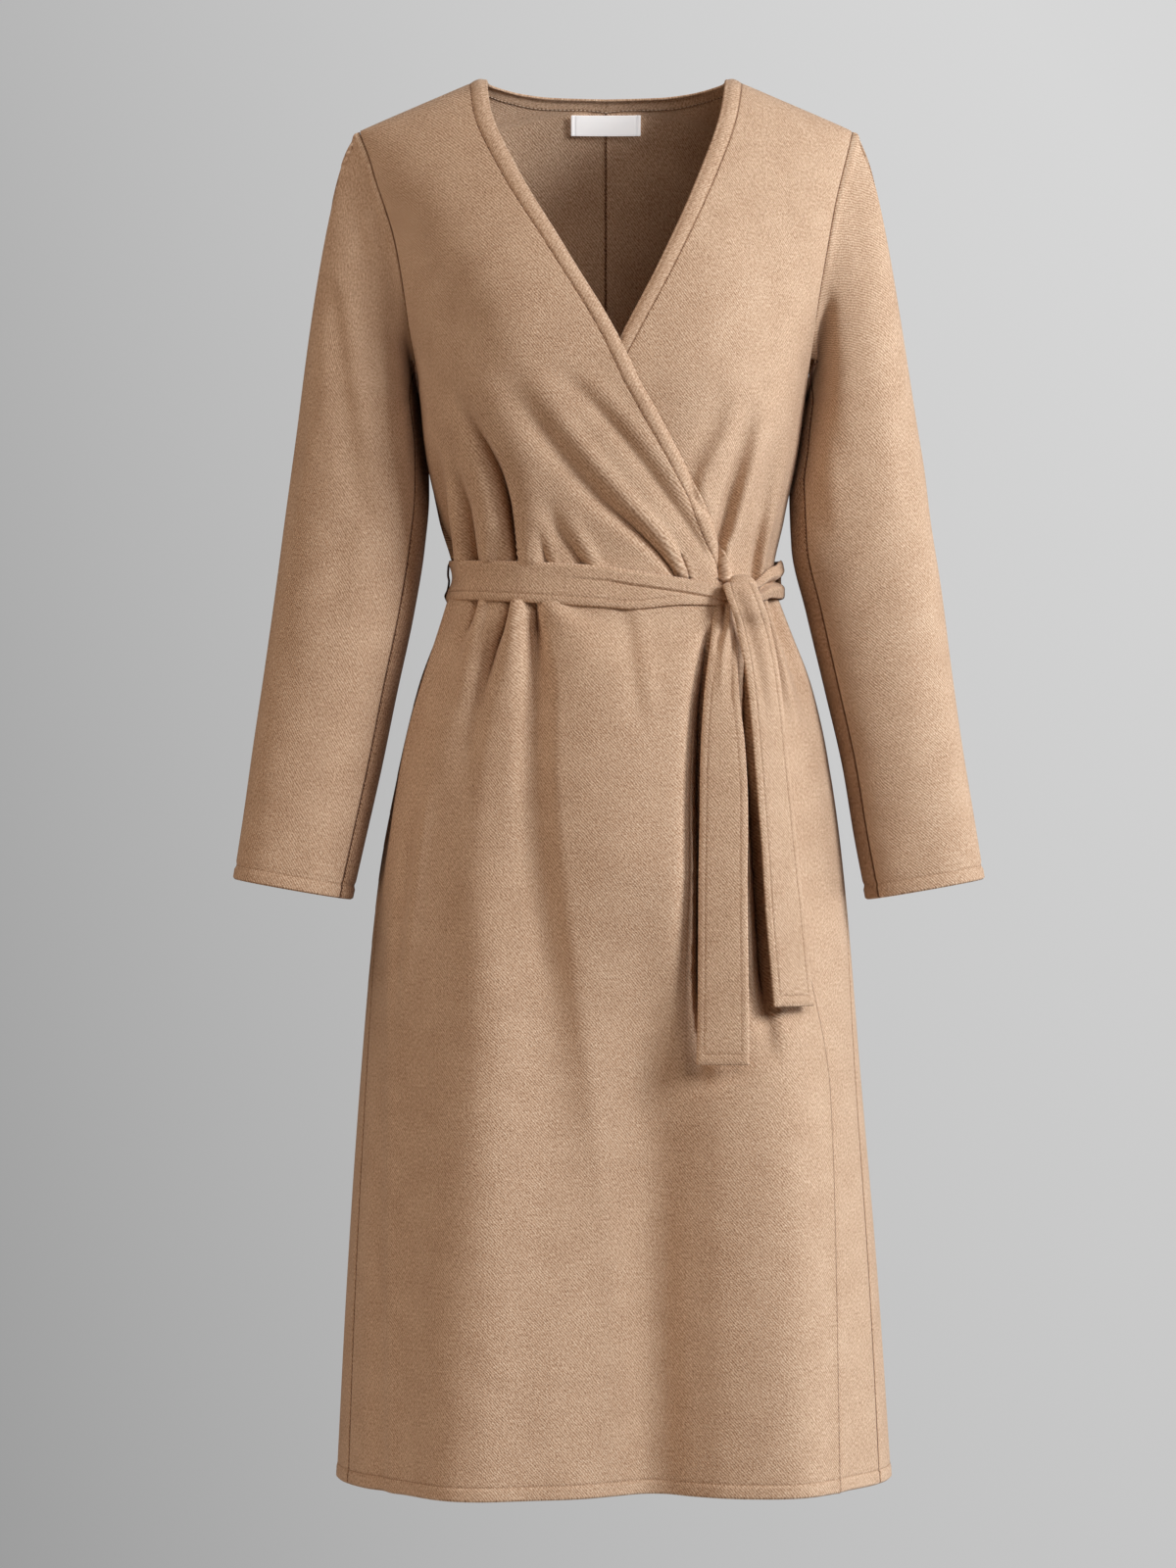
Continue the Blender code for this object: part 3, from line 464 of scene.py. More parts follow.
frontPleats = {
    "side edge": [
        (-131, -274, 0, 6), (-127, -300, 5, 5), (-124.5, -334, 9, 5), (-121, -366, 10, 4.5),
        (-120, -390, 8.3, 3.4),
    ],
    "first gather": [
        (-117, -268, 0, 8), (-111, -300, 5, 7.5), (-104, -331, 10, 6.5), (-101, -362, 12, 5.5),
        (-98, -390, 9.8, 3),
    ],
    "slit": [(-95, -362, 0, 2.4), (-95, -372, 2.6, 2.2), (-94, -392, 2.6, 2.2)],
    "deep tuck": [
        (-108, -222, 0, 12), (-100, -246, 5, 10), (-92, -267, 9, 8), (-84, -285, 14, 7.5), (-77, -305, 19, 7),
        (-72, -334, 25, 6), (-68.5, -374, 26, 3.4), (-67, -392, 14, 2.6),
    ],
    "small tuck": [(-51, -347, 0, 4.7), (-47, -365, 2, 3.9), (-39, -392, 3.9, 3.1)],
    "near tuck": [(-42, -320, 0, 9.3), (-32, -347, 2.6, 7.8), (-20, -367, 5, 6.2), (-5, -395, 6.6, 4.7)],
    "long drape": [
        (-64, -219, 0, 15.6), (-49, -254, 3.6, 12.4), (8, -327, 6.6, 10.9), (33, -352, 7.4, 8.6),
        (51, -375, 8.2, 4.7), (66, -401, 7.0, 2.7),
    ],
    "edge drape": [
        (-35, -215, 0, 12.4), (18, -274, 3.2, 9.3), (47, -312, 3.2, 8.6), (79, -364, 1.2, 5.4),
        (87, -382, 0, 3.9),
    ],
    "knot nick": [(58, -367, 0, 2.3), (63, -381, 2.8, 1.9), (69, -403, 3.5, 1.6)],
    "under the edge": [
        (100, -231, 0, 12.4), (92, -266, 2.6, 9.3), (72, -320, 3.9, 6.2), (80, -339, 0, 4.7),
    ],
    "knot tuck": [
        (121, -242, 0, 10.9), (116, -274, 4, 8), (106, -320, 8.5, 6.5), (98, -352, 9, 5), (93, -368, 7, 4),
        (93, -392, 4, 3.5),
    ],
    "side tuck": [(142, -274, 0, 7.8), (132, -328, 4.5, 5.4), (123, -379, 7.5, 2.7), (121, -398, 7.5, 2.7)],
    "hip edge": [
        (-124, -398, 5.9, 3.7), (-140, -452, 6.9, 4.2), (-161, -522, 5.9, 3.7), (-177, -616, 2.9, 3.7),
        (-182, -655, 0, 3.7),
    ],
    "hip gather": [
        (-98, -394, 5.7, 3.1), (-100, -409, 5.7, 3.1), (-114, -457, 4.1, 7), (-121, -499, 0, 9.3),
    ],
    "hip pleat": [
        (-73, -394, 18.9, 2.3), (-74, -409, 18.9, 2.3), (-84, -451, 13.5, 6.2), (-94, -511, 5.9, 10.9),
        (-99, -554, 3.2, 14), (-102, -608, 0, 15.6),
    ],
    "broad pleat": [
        (-54, -394, 11.7, 3.1), (-52, -412, 11.7, 3.9), (-47, -431, 13.6, 8.6), (-39, -476, 13, 17.1),
        (-38, -554, 10.9, 19.4), (-25, -694, 9.4, 23.3), (-1, -904, 4.7, 28), (16, -1145, 1.6, 31),
    ],
    "front pleat": [(16, -398, 0, 6.2), (23, -429, 1.6, 7), (28, -472, 2.1, 7), (32, -511, 0, 7)],
    "low rise": [(79, -631, 0, 39), (85, -748, 4.8, 43), (90, -904, 7.2, 47), (93, -1145, 7.2, 47)],
    "side fall": [(-177, -631, 0, 7), (-175, -709, 1.7, 7), (-172, -1020, 2.8, 7), (-170, -1145, 3.1, 7)],
    "right fall": [
        (-122, -522, 0, 17.1), (-107, -670, 3.9, 20.2), (-97, -787, 3.4, 21.8), (-93, -1145, 2.1, 23.3),
    ],
    "tail pleat": [
        (125, -398, 4, 3), (131, -425, 6, 3.2), (139, -455, 5, 4), (146, -490, 2.5, 5), (152, -530, 0, 6),
    ],
    "side pleat": [
        (134, -400, 4, 2.6), (144, -430, 6, 3.2), (155, -460, 5, 4), (165, -495, 2.5, 5), (175, -540, 0, 7),
    ],
    "shade of the long end": [
        (84, -425, 0, 5), (83, -455, 9, 6), (82, -500, 22, 8), (83, -590, 30, 9.5), (84, -705, 26, 9.5),
        (86, -765, 9, 10),
        (87, -800, 0, 11),
    ],
    "shade of the short end": [
        (114, -440, 0, 4), (118, -475, 14, 6), (122, -520, 25, 8), (130, -590, 32, 9), (133, -700, 28, 9),
        (134, -745, 8, 9), (135, -775, 0, 10),
    ],
    "centre ripple": [(63, -849, 0, 9.3), (61, -943, 1, 9.3), (65, -1145, 1.3, 9.3)],
    "skirt edge": [
        (-139, -545, 0, 5), (-146, -575, 3, 5), (-152, -620, 4, 5), (-160, -700, 2.5, 5),
        (-166, -800, 0, 6),
    ],
}
# the skirt falls back behind the hanging belt ends
frontHollows = {
    "behind the long end": [
        (88, -425, 0, 13), (92, -455, -9, 15), (92, -600, -14, 17), (92, -750, -12, 17), (92, -800, 0, 17),
    ],
    "behind the short end": [
        (116, -425, 0, 9), (122, -470, -8, 10), (128, -600, -12, 11), (138, -715, -9, 12),
        (140, -755, 0, 12),
    ],
}
# how high a pleat's crest is for its lift, and how sharp
crests = {
    "others": (0.60, 1.35),
    "deep tuck": (0.22, 0.45),
    "first gather": (0.50, 0.8),
    "side edge": (0.50, 0.9),
    "broad pleat": (0.40, 0.45),
    "hip pleat": (0.50, 0.62),
    "slit": (0.4, 1.0),
    "shade of the long end": (0.05, 1.0),
    "shade of the short end": (0.05, 1.0),
}
backForms = {
    "shoulder drape": [(-120, -60, 0, 22), (-90, -150, -3, 22), (-70, -240, 0, 22)],
    "other drape": [(124, -60, 0, 22), (96, -150, -2.8, 22), (78, -240, 0, 22)],
    "right lobe": [(-115, -560, 0, 36), (-122, -860, 11, 36), (-124, -1120, 14, 36)],
    "centre hollow": [(-6, -560, 0, 50), (0, -860, -12, 50), (4, -1120, -16, 50)],
    "left lobe": [(112, -560, 0, 38), (120, -860, 11, 38), (124, -1120, 14, 38)],
}
backPleats = {
    "right gather": [(-84, -280, 0, 14), (-74, -325, 4, 9), (-68, -362, 6, 5), (-66, -390, 6, 4)],
    "left gather": [(96, -268, 0, 13), (84, -322, 4, 9), (75, -362, 6, 5), (72, -390, 6, 4)],
    "right blouse": [(-110, -300, 0, 8), (-102, -340, 3, 5), (-95, -390, 4, 3.5)],
    "left blouse": [(118, -305, 0, 8), (108, -345, 3, 5), (101, -390, 4, 3.5)],
    "middle gather": [(-32, -330, 0, 8), (-27, -360, 2.5, 5), (-25, -390, 3, 4)],
    "near gather": [(36, -322, 0, 8), (31, -355, 2.5, 5), (28, -390, 3, 4)],
    "right pleat": [(-62, -386, 6, 4), (-68, -420, 6, 6), (-80, -500, 4, 12), (-88, -640, 0, 18)],
    "left pleat": [(68, -386, 6, 4), (74, -425, 6, 6), (84, -510, 4, 12), (94, -660, 0, 18)],
    "right crest": [(-94, -386, 4, 3.5), (-102, -430, 4, 5), (-116, -540, 2, 11), (-122, -660, 0, 14)],
    "left crest": [(98, -386, 4, 3.5), (106, -430, 4, 5), (120, -545, 2, 11), (128, -680, 0, 14)],
    "centre pleat": [(-8, -386, 2.5, 4), (-10, -430, 3, 8), (-8, -540, 2, 16), (-4, -720, 0, 22)],
}
belt = {
    "wall": 0.0026,
    "course": [(-0.150, -0.3870), (0.000, -0.3975), (0.085, -0.4025), (0.105, -0.3990), (0.160, -0.3880)],
    "backZ": -0.3875,
    "height": 0.032,
    "top": [(-0.150, -0.3710), (0.000, -0.3815), (0.0163, -0.3845), (0.0590, -0.3915), (0.0960, -0.3988)],
    "bottom": [(-0.150, -0.4030), (0.000, -0.4135), (0.0163, -0.4150), (0.0590, -0.4112), (0.0960, -0.4115)],
    "creaseDown": 0.0105,
    "creaseFrom": (-0.050, 0.030),  # where along x the crease starts and is full
    "creaseStep": 0.0018,
    "stitchUp": 0.006,
    "sewnTo": 0.058,  # the bottom stitches stop here, short of the knot
    "knot": (0.0978, -0.4025),
    "sideHollow": 0.0022,  # how far its end sinks in under the thread loop
    "standFront": 0.0044,  # clear of the dress in front
    "standLess": 0.0024,  # and less than that behind
    "behindFrom": (80, 30),  # degrees round from the front, and over how many
    "loopHold": 0.85,  # the share of its stand that the thread loop takes away
    "loopSpan": 26,  # degrees either side of the loop
}


def curve(points):
    # smooth through (at, value) points, without overshooting them
    at, value = np.array(sorted(points), float).T
    step = np.diff(at)
    slope = np.diff(value) / step
    sameWay = slope[:-1] * slope[1:] > 0
    safe = np.where(sameWay, slope[:-1] + slope[1:], 1.0)
    middle = np.where(sameWay, 2 * slope[:-1] * slope[1:] / safe, 0.0)
    tangent = np.concatenate([slope[:1], middle, slope[-1:]])

    def evaluate(x):
        x = np.clip(x, at[0], at[-1])
        i = np.clip(np.searchsorted(at, x) - 1, 0, len(step) - 1)
        t = (x - at[i]) / step[i]
        rest = 1 - t
        return (
            rest * rest * (1 + 2 * t) * value[i]
            + t * t * (3 - 2 * t) * value[i + 1]
            + t * rest * step[i] * (rest * tangent[i] - t * tangent[i + 1])
        )

    return evaluate


def columns(table):
    # one curve per column of a table, over its first column
    table = np.array(table, float)
    return [curve(zip(table[:, 0], table[:, i])) for i in range(1, table.shape[1])]


def ease(x):
    x = np.clip(x, 0.0, 1.0)
    return x * x * (3 - 2 * x)


def unit(vectors):
    return vectors / np.maximum(np.linalg.norm(vectors, axis=-1, keepdims=True), 1e-12)


rightSide, leftSide, frontDepth, backDepth = columns(body["sections"])
beltZ = curve(belt["course"])
beltTop = curve(belt["top"])
beltBottom = curve(belt["bottom"])
sideSeam = curve(body["sideSeam"])


def shoulderZ(x):
    # height of the shoulder seam's line, which runs on past the neck and rounds off at the centre
    fall = (body["neckZ"] - body["shoulderZ"]) / (body["shoulderX"] - body["neckX"])
    away, rounded = np.abs(x), body["centreRound"]
    away = np.where(away < rounded, x * x / (2 * rounded) + rounded / 2, away)
    return body["neckZ"] - fall * (away - body["neckX"])


def drop(row):
    # 0 at the shoulder seam, 1 at the underarm and below
    return np.clip((body["shoulderZ"] - row) / (body["shoulderZ"] - body["underarmZ"]), 0.0, 1.0)


def rowOf(x, z):
    share = (shoulderZ(x) - z) / (shoulderZ(x) - body["underarmZ"])
    sloped = body["shoulderZ"] - share * (body["shoulderZ"] - body["underarmZ"])
    return np.where(z < body["underarmZ"], z, sloped)


def foldAt(path, z):
    # the x of a fold's middle, its lift and its half width at a height, in metres
    x, down, lift, width = np.array(path, float).T / 1000
    within = (z <= down.max()) & (z >= down.min())
    middle, rise, reach = [curve(zip(down, value))(z) for value in (x, lift, width)]
    return middle, rise * within, reach


def formLift(x, z, forms, beltAt):
    total = np.zeros(np.broadcast(x, z).shape)
    for path in forms.values():
        middle, lift, width = foldAt(path, z)
        total = total + lift * np.exp(-(((x - middle) / width) ** 2))
    clear, over = body["formClear"]
    return total * ease((np.abs(z - beltAt) - clear) / over)


def pleatLift(x, z, pleats, beltAt):
    total = np.zeros(np.broadcast(x, z).shape)
    for name, path in pleats.items():
        high, sharp = crests.get(name, crests["others"])
        middle, lift, width = foldAt(path, z)
        t = (x - middle) / width
        t = np.where(t > 0, sharp * t, t)
        side = np.where(t > 0, high, body["hollowDeep"])
        total = total + lift * side * t * np.exp((1 - t * t) / 2)
    (clear, over), (heldFrom, heldOver) = body["pleatClear"], body["heldFrom"]
    free = ease((np.abs(z - beltAt) - clear) / over)
    held = np.minimum(total, body["underBelt"] * ease((heldFrom + x) / heldOver))
    return total * free + held * (1 - free)


def bareSurface(turn, row, pleated=True):
    s, c = np.sin(turn), np.cos(turn)
    side = np.where(s > 0, leftSide(row), rightSide(row))
    slant = 1 - (1 - drop(row)) ** 2
    front = frontDepth(row) * slant ** body["frontRound"]
    back = backDepth(row) * slant ** body["backRound"]
    deep = np.where(c > 0, front, back)
    square = body["square"]
    x = side * np.sign(s) * np.abs(s) ** (2 / square)
    y = -deep * np.sign(c) * np.abs(c) ** (2 / square)
    share = drop(row)
    z = np.where(row < body["underarmZ"], row, shoulderZ(x) * (1 - share) + body["underarmZ"] * share)
    lean = 2 - 2 / square
    outX = np.sign(s) * np.abs(s) ** lean / side
    outY = -np.sign(c) * np.abs(c) ** lean / np.maximum(deep, 0.001)
    length = np.hypot(outX, outY)
    lift = np.where(c > 0, formLift(x, z, frontForms, beltZ(x)), formLift(x, z, backForms, belt["backZ"]))
    places = np.stack([x + lift * outX / length, y + lift * outY / length, z], axis=-1)
    if not pleated:
        return places
    inFront = pleatLift(x, z, frontPleats, beltZ(x)) + formLift(x, z, frontHollows, beltZ(x))
    pleat = np.where(c > 0, inFront, pleatLift(x, z, backPleats, belt["backZ"]))
    sideways = outX * body["pleatSideways"]
    outward = unit(np.stack(np.broadcast_arrays(sideways, outY, 0.0 * z), axis=-1))
    return places + pleat[..., None] * outward


def surface(turn, row, pleated=True):
    # points on the body and its outward normals
    turn, row = np.broadcast_arrays(np.asarray(turn, float), np.asarray(row, float))
    smallTurn, smallRow = 0.003, 0.0008
    top = np.minimum(row + smallRow, body["shoulderZ"])
    bottom = np.maximum(row - smallRow, body["hemZ"])
    offSeam = np.minimum(row, body["shoulderZ"] - smallRow)
    across = bareSurface(turn + smallTurn, offSeam, pleated)
    across = across - bareSurface(turn - smallTurn, offSeam, pleated)
    down = bareSurface(turn, bottom, pleated) - bareSurface(turn, top, pleated)
    normals = np.cross(down, across)
    normals[..., 1] *= np.minimum(drop(row) / body["uprightOver"], 1.0)
    return bareSurface(turn, row, pleated), unit(normals)


def turnOf(x, row, behind=False):
    side = np.where(x > 0, leftSide(row), rightSide(row))
    turn = np.sign(x) * np.arcsin(np.minimum(np.abs(x) / side, 1.0) ** (body["square"] / 2))
    return np.where(x < 0, -math.pi, math.pi) - turn if behind else turn


def armholeTurn(row, way=-1):
    # how far round a panel reaches: way is -1 for a front and 1 for a back
    scoop = body["scoop"] * np.sin(math.pi * drop(row)) ** 0.6
    return np.radians(np.where(row > body["underarmZ"], 90 + way * scoop, sideSeam(row)))


def edgeOf(points):
    # a free edge as the x at which it crosses each row
    return curve([(float(rowOf(x, z)), x) for x, z in points])


def runLengths(points, axis):
    # distance along a grid from its first row or column
    steps = np.linalg.norm(np.diff(points, axis=axis), axis=-1)
    start = np.zeros_like(np.take(steps, [0], axis=axis))
    return np.concatenate([start, np.cumsum(steps, axis=axis)], axis=axis)


def meshOf(name, points, quads, material):
    mesh = bpy.data.meshes.new(name)
    quads = np.asarray(quads, np.int32)
    mesh.vertices.add(len(points))
    mesh.vertices.foreach_set("co", np.asarray(points, np.float32).ravel())
    mesh.loops.add(quads.size)
    mesh.loops.foreach_set("vertex_index", quads.ravel())
    mesh.polygons.add(len(quads))
    mesh.polygons.foreach_set("loop_start", np.arange(0, quads.size, 4, dtype=np.int32))
    mesh.update(calc_edges=True)
    mesh.validate()
    mesh.shade_smooth()
    mesh.materials.append(material)
    made = bpy.data.objects.new(name, mesh)
    bpy.context.scene.collection.objects.link(made)
    return made


def setWeave(piece, values, sewn=None):
    held = piece.data.attributes.new("weave", "FLOAT_VECTOR", "POINT")
    held.data.foreach_set("vector", np.asarray(values, np.float32).ravel())
    # sewn holds painted shade, along the seams' grooves, on inside faces and on the sleeves beside the body
    if sewn is not None:
        held = piece.data.attributes.new("sewn", "FLOAT", "POINT")
        held.data.foreach_set("value", np.asarray(sewn, np.float32).ravel())


seamShadeWidth = 0.0008


def nearSewn(points, rims):
    # 1 at a grid's sewn edges, gone two millimetres away from them; it places the painted seam shade
    down, across = runLengths(points, 0), runLengths(points, 1)
    away = (down, across[:, -1:] - across, down[-1:] - down, across)
    near = [np.exp(-((distance / seamShadeWidth) ** 2)) for distance, rim in zip(away, rims) if rim < 1]
    return np.max(near, axis=0) if near else np.zeros(down.shape)


def cloth(
    name,
    outside,
    inside,
    weave,
    material,
    insideWeave=None,
    rims=(1, 1, 1, 1),
    seamShade=1.0,
    insideShade=0.0,
    shade=0.0,
):
    # a closed cloth wall between two grids seen from outside; rims says how far its top,
    # right, bottom and left edges bulge: 1 where free, little where sewn
    rows, across = outside.shape[:2]
    count = rows * across
    index = np.arange(count).reshape(rows, across)
    corners = [index[:-1, :-1], index[1:, :-1], index[1:, 1:], index[:-1, 1:]]
    outer = np.stack(corners, axis=-1).reshape(-1, 4)
    inner = outer[:, ::-1] + count
    border = np.concatenate([index[0, :-1], index[:-1, -1], index[-1, :0:-1], index[:0:-1, 0]])
    inward = np.concatenate([index[1, :-1], index[:-1, -2], index[-2, :0:-1], index[:0:-1, 1]])
    flatOut, flatIn = outside.reshape(-1, 3), inside.reshape(-1, 3)
    wall = np.linalg.norm(flatOut[border] - flatIn[border], axis=-1, keepdims=True)
    push = unit(flatOut[border] - flatOut[inward])
    lengths = (across - 1, rows - 1, across - 1, rows - 1)
    bulge = np.concatenate([np.full(length, edge) for length, edge in zip(lengths, rims)])[:, None]
    rim = (flatOut[border] + flatIn[border]) / 2 + 0.45 * bulge * wall * push
    first = np.arange(len(border)) + 2 * count
    after = np.roll(first, -1)
    onward = np.roll(border, -1)
    outerRim = np.stack([border, onward, after, first], axis=-1)
    innerRim = np.stack([first, after, onward + count, border + count], axis=-1)
    points = np.concatenate([flatOut, flatIn, rim])
    piece = meshOf(name, points, np.concatenate([outer, inner, outerRim, innerRim]), material)
    flatWeave = weave.reshape(-1, 3)
    inWeave = flatWeave if insideWeave is None else insideWeave.reshape(-1, 3)
    # painted shade near the sewn edges, plus the painted shade or highlight that shade gives, and painted
    # shade on the inside faces
    sewn = (seamShade * nearSewn(outside, rims) + shade).ravel()
    allWeave = np.concatenate([flatWeave, inWeave, flatWeave[border]])
    setWeave(piece, allWeave, np.concatenate([sewn, sewn + insideShade, sewn[border]]))
    return piece


print("shared surface ready")

fronts = {
    "wrapGap": 0.0018,  # air between the fronts where they overlap
    "lapEdge": [  # free edge of the outer front, x and z
        (-0.0990, 0.0225), (-0.0955, -0.0054), (-0.0733, -0.0589), (-0.0308, -0.1322), (0.0096, -0.2013),
        (0.0512, -0.2820), (0.0809, -0.3389), (0.0991, -0.3836), (0.1080, -0.4200), (0.1330, -0.5500),
        (0.1560, -0.6900), (0.1740, -0.8000), (0.1800, -1.1160),
    ],
    "underEdge": [
        (0.0990, 0.0225), (0.0943, -0.0078), (0.0761, -0.0628), (0.0428, -0.1376), (0.0116, -0.1989),
        (-0.0400, -0.2820), (-0.0700, -0.3389), (-0.0880, -0.3836), (-0.0950, -0.4200), (-0.1000, -0.5500),
        (-0.1000, -1.1160),
    ],
    "seamDip": 0.0007,
    "bandDip": 0.0003,
    "allowance": 0.0009,  # the turned-in cloth that thickens a seam inside
    "hem": 0.0100,
    "hemExtra": 0.0010,  # the turned hem is thicker
    "ditch": 0.0003,
    "lapOver": 24,  # degrees from the side seam over which the outer front comes clear of the other
    "lapFade": (-0.050, 0.100),  # and how far below the shoulder
    "underBack": 0.0030,  # how far the front beneath keeps back
    "underFade": (-0.150, 0.060),
}
turned = {"puff": 0.0006, "rise": 0.003, "fold": 0.002, "groove": 0.0011}  # a turned and stitched edge
neckBand = {
    "width": 0.0100,
    "reach": 0.0115,  # its width along x, where the edge runs slanting
    "wall": 0.0020,
    "puff": 0.0006,
    "ditch": 0.0002,
    "roll": 0.0022,
    "endZ": -0.4040,
    "shares": [0.0, 0.03, 0.07, 0.12, 0.18, 0.26, 0.36, 0.48, 0.60, 0.72, 0.82, 0.90, 0.96, 1.0],
    "backTop": [(0.0990, 0.0225), (0.0707, 0.0170), (0.0457, 0.0148), (0.0000, 0.0140)],
    "backSeam": [(0.0790, 0.0095), (0.0500, 0.0055), (0.0000, 0.0040)],
}
seams = {"turn": 0.0013, "armTurn": 0.005, "armholeGap": 0.0004, "shoulderShift": 0.00025, "gap": 0.0003}


def finerRows():
    shares = np.linspace(0, 1, body["upperRows"]) ** 1.8
    rows = list(body["shoulderZ"] - shares * (body["shoulderZ"] - body["underarmZ"]))
    for low, step in body["rowSteps"]:
        count = math.ceil((rows[-1] - low) / step)
        rows += list(np.linspace(rows[-1], low, count + 1)[1:])
    return np.array(rows)


clothRows = finerRows()
lapEdge = edgeOf(fronts["lapEdge"])
underEdge = edgeOf(fronts["underEdge"])


def denser(count):
    # shares across a panel, close together at its two edges
    edge = np.array([0, 0.002, 0.0045, 0.008, 0.013])
    return np.concatenate([edge, np.linspace(0.020, 0.980, count), 1 - edge[::-1]])


def lapStand(turn, row):
    fromSide = ease((turn + armholeTurn(row)) / math.radians(fronts["lapOver"]))
    start, over = fronts["lapFade"]
    return (body["cloth"] + fronts["wrapGap"]) * fromSide * ease((start - row) / over)


def underStand(turn, row):
    # the front beneath keeps back from the one over it
    side = np.where(turn > 0, leftSide(row), rightSide(row))
    x = side * np.sign(turn) * np.abs(np.sin(turn)) ** (2 / body["square"])
    covered = ease((lapEdge(row) + 0.004 - x) / 0.020)
    start, over = fronts["underFade"]
    return -fronts["underBack"] * covered * ease((start - row) / over)


def spaced(start, end, shares):
    return start[:, None] + (end - start)[:, None] * np.asarray(shares)[None, :]


def bandReach(row):
    return neckBand["reach"] * (row > neckBand["endZ"])


stitchPaths = {"hem": [], "cuff": [], "neck": [], "back neck": [], "belt": [], "label": []}


def crossing(points, values, level):
    # where each column of a grid reaches a level, going down its rows
    found = []
    for column in range(points.shape[1]):
        value = values[:, column] - level
        at = np.nonzero(value[:-1] * value[1:] <= 0)[0]
        if len(at):
            i = at[-1]
            t = value[i] / (value[i] - value[i + 1])
            found.append(points[i, column] * (1 - t) + points[i + 1, column] * t)
    return np.array(found)


def dip(distance, depth, width=0.0013):
    return -depth * np.exp(-((distance / width) ** 2))


def turnedEdge(fromEdge, depth, ditch):
    # the rise of a turned edge, and the groove along its stitches
    rise = turned["puff"] * ease((depth - fromEdge) / turned["rise"])
    return rise + dip(fromEdge - depth, ditch, turned["groove"])


def weaveOf(points, turns=None, zero=0.0, stitched=1.0, mirrored=False):
    # cloth lengths across and down a grid, and the distance from its stitched line
    across = runLengths(points, 1)
    if turns is None:
        datum = across[:, across.shape[1] // 2]
    else:
        datum = np.array([np.interp(zero, t, a) for t, a in zip(turns, across)])
        # a row that stops short of the datum still counts from it
        datum = datum - np.where(turns[:, 0] > zero, np.abs(points[:, 0, 0]), 0.0)
        datum = datum + np.where(turns[:, -1] < zero, np.abs(points[:, -1, 0]), 0.0)
    across = across - datum[:, None]
    if mirrored:
        across = -across
    down = np.broadcast_to(runLengths(points, 0).mean(axis=1, keepdims=True), across.shape)
    return np.stack([across, down, np.broadcast_to(stitched, across.shape)], axis=-1)


def panel(name, turns, stand, shiftY, rims, dips, zero=0.0, mirrorInside=False):
    # a panel of the body, with dips along its two long seams and a turned hem
    rows = clothRows[:, None]
    points, normals = surface(turns, rows)
    points = points + np.array([0.0, shiftY, 0.0])
    across = runLengths(points, 1)
    fromHem = runLengths(points[::-1], 0)[::-1]
    fromSeam = np.minimum(across, across[:, -1:] - across)
    seam = dip(across, dips[0]) + dip(across[:, -1:] - across, dips[1])
    fromTop = runLengths(points, 0)
    seam = seam + dip(fromTop, fronts["seamDip"])
    hem = turnedEdge(fromHem, fronts["hem"], fronts["ditch"])
    lifted = points + (stand + seam + hem)[..., None] * normals
    thick = body["cloth"] + fronts["hemExtra"] * ease((fronts["hem"] - fromHem) / turned["fold"])
    thick = thick - dip(fromSeam, fronts["allowance"]) - dip(fromTop, fronts["allowance"])
    inside = points + (stand - thick)[..., None] * normals
    stitchPaths["hem"].append(crossing(lifted, fromHem, fronts["hem"]))
    unpleated = surface(turns, rows, False)[0]
    weave = weaveOf(unpleated, turns, zero, fromHem - fronts["hem"])
    insideWeave = weaveOf(unpleated, turns, zero, fromHem - fronts["hem"], True) if mirrorInside else None
    return cloth(name, lifted, inside, weave, camelWool, insideWeave, rims, insideShade=0.02)


frontSides = (("right", -1, lapEdge, lapStand), ("left", 1, underEdge, underStand))


def buildFronts():
    made = {}
    for side, way, edge, stand in frontSides:
        free = edge(clothRows) + way * bandReach(clothRows)
        sideTurn = way * (armholeTurn(clothRows) - seams["turn"])
        turns = spaced(sideTurn, turnOf(free, clothRows), denser(128 if way < 0 else 106))
        turns = turns if way < 0 else turns[:, ::-1]
        rims = (0.5, 0.99, 1, 0.5) if way < 0 else (0.5, 0.5, 1, 0.99)
        dips = (fronts["seamDip"], fronts["bandDip"])[::-way]
        level = stand(turns, clothRows[:, None])
        name, shift = "front_" + side, -seams["shoulderShift"]
        made[name] = panel("cloth_" + name, turns, level, shift, rims, dips)
    return made


def backInset():
    # half width of the back's neck for each row, and its lowest row
    reach = body["neckX"] + neckBand["reach"]
    outline = [(reach, float(shoulderZ(reach)))] + neckBand["backSeam"]
    lowest = float(rowOf(0.0, neckBand["backSeam"][-1][1]))
    return edgeOf(outline), lowest


def buildBacks():
    inset, lowest = backInset()
    width = np.where(clothRows > lowest, np.maximum(inset(clothRows), 0.0), 0.0)
    made = {}
    for name, way in (("back_right", -1), ("back_left", 1)):
        centre = turnOf(way * np.maximum(width, seams["gap"] / 2), clothRows, behind=True)
        side = way * (armholeTurn(clothRows, 1) + seams["turn"])
        turns = spaced(centre, side, denser(72))
        turns = turns if way < 0 else turns[:, ::-1]
        dips, rims = (fronts["seamDip"], fronts["seamDip"]), (0.5, 0.8, 1, 0.8)
        shift = seams["shoulderShift"]
        made[name] = panel("cloth_" + name, turns, 0.0, shift, rims, dips, way * math.pi, True)
    return made


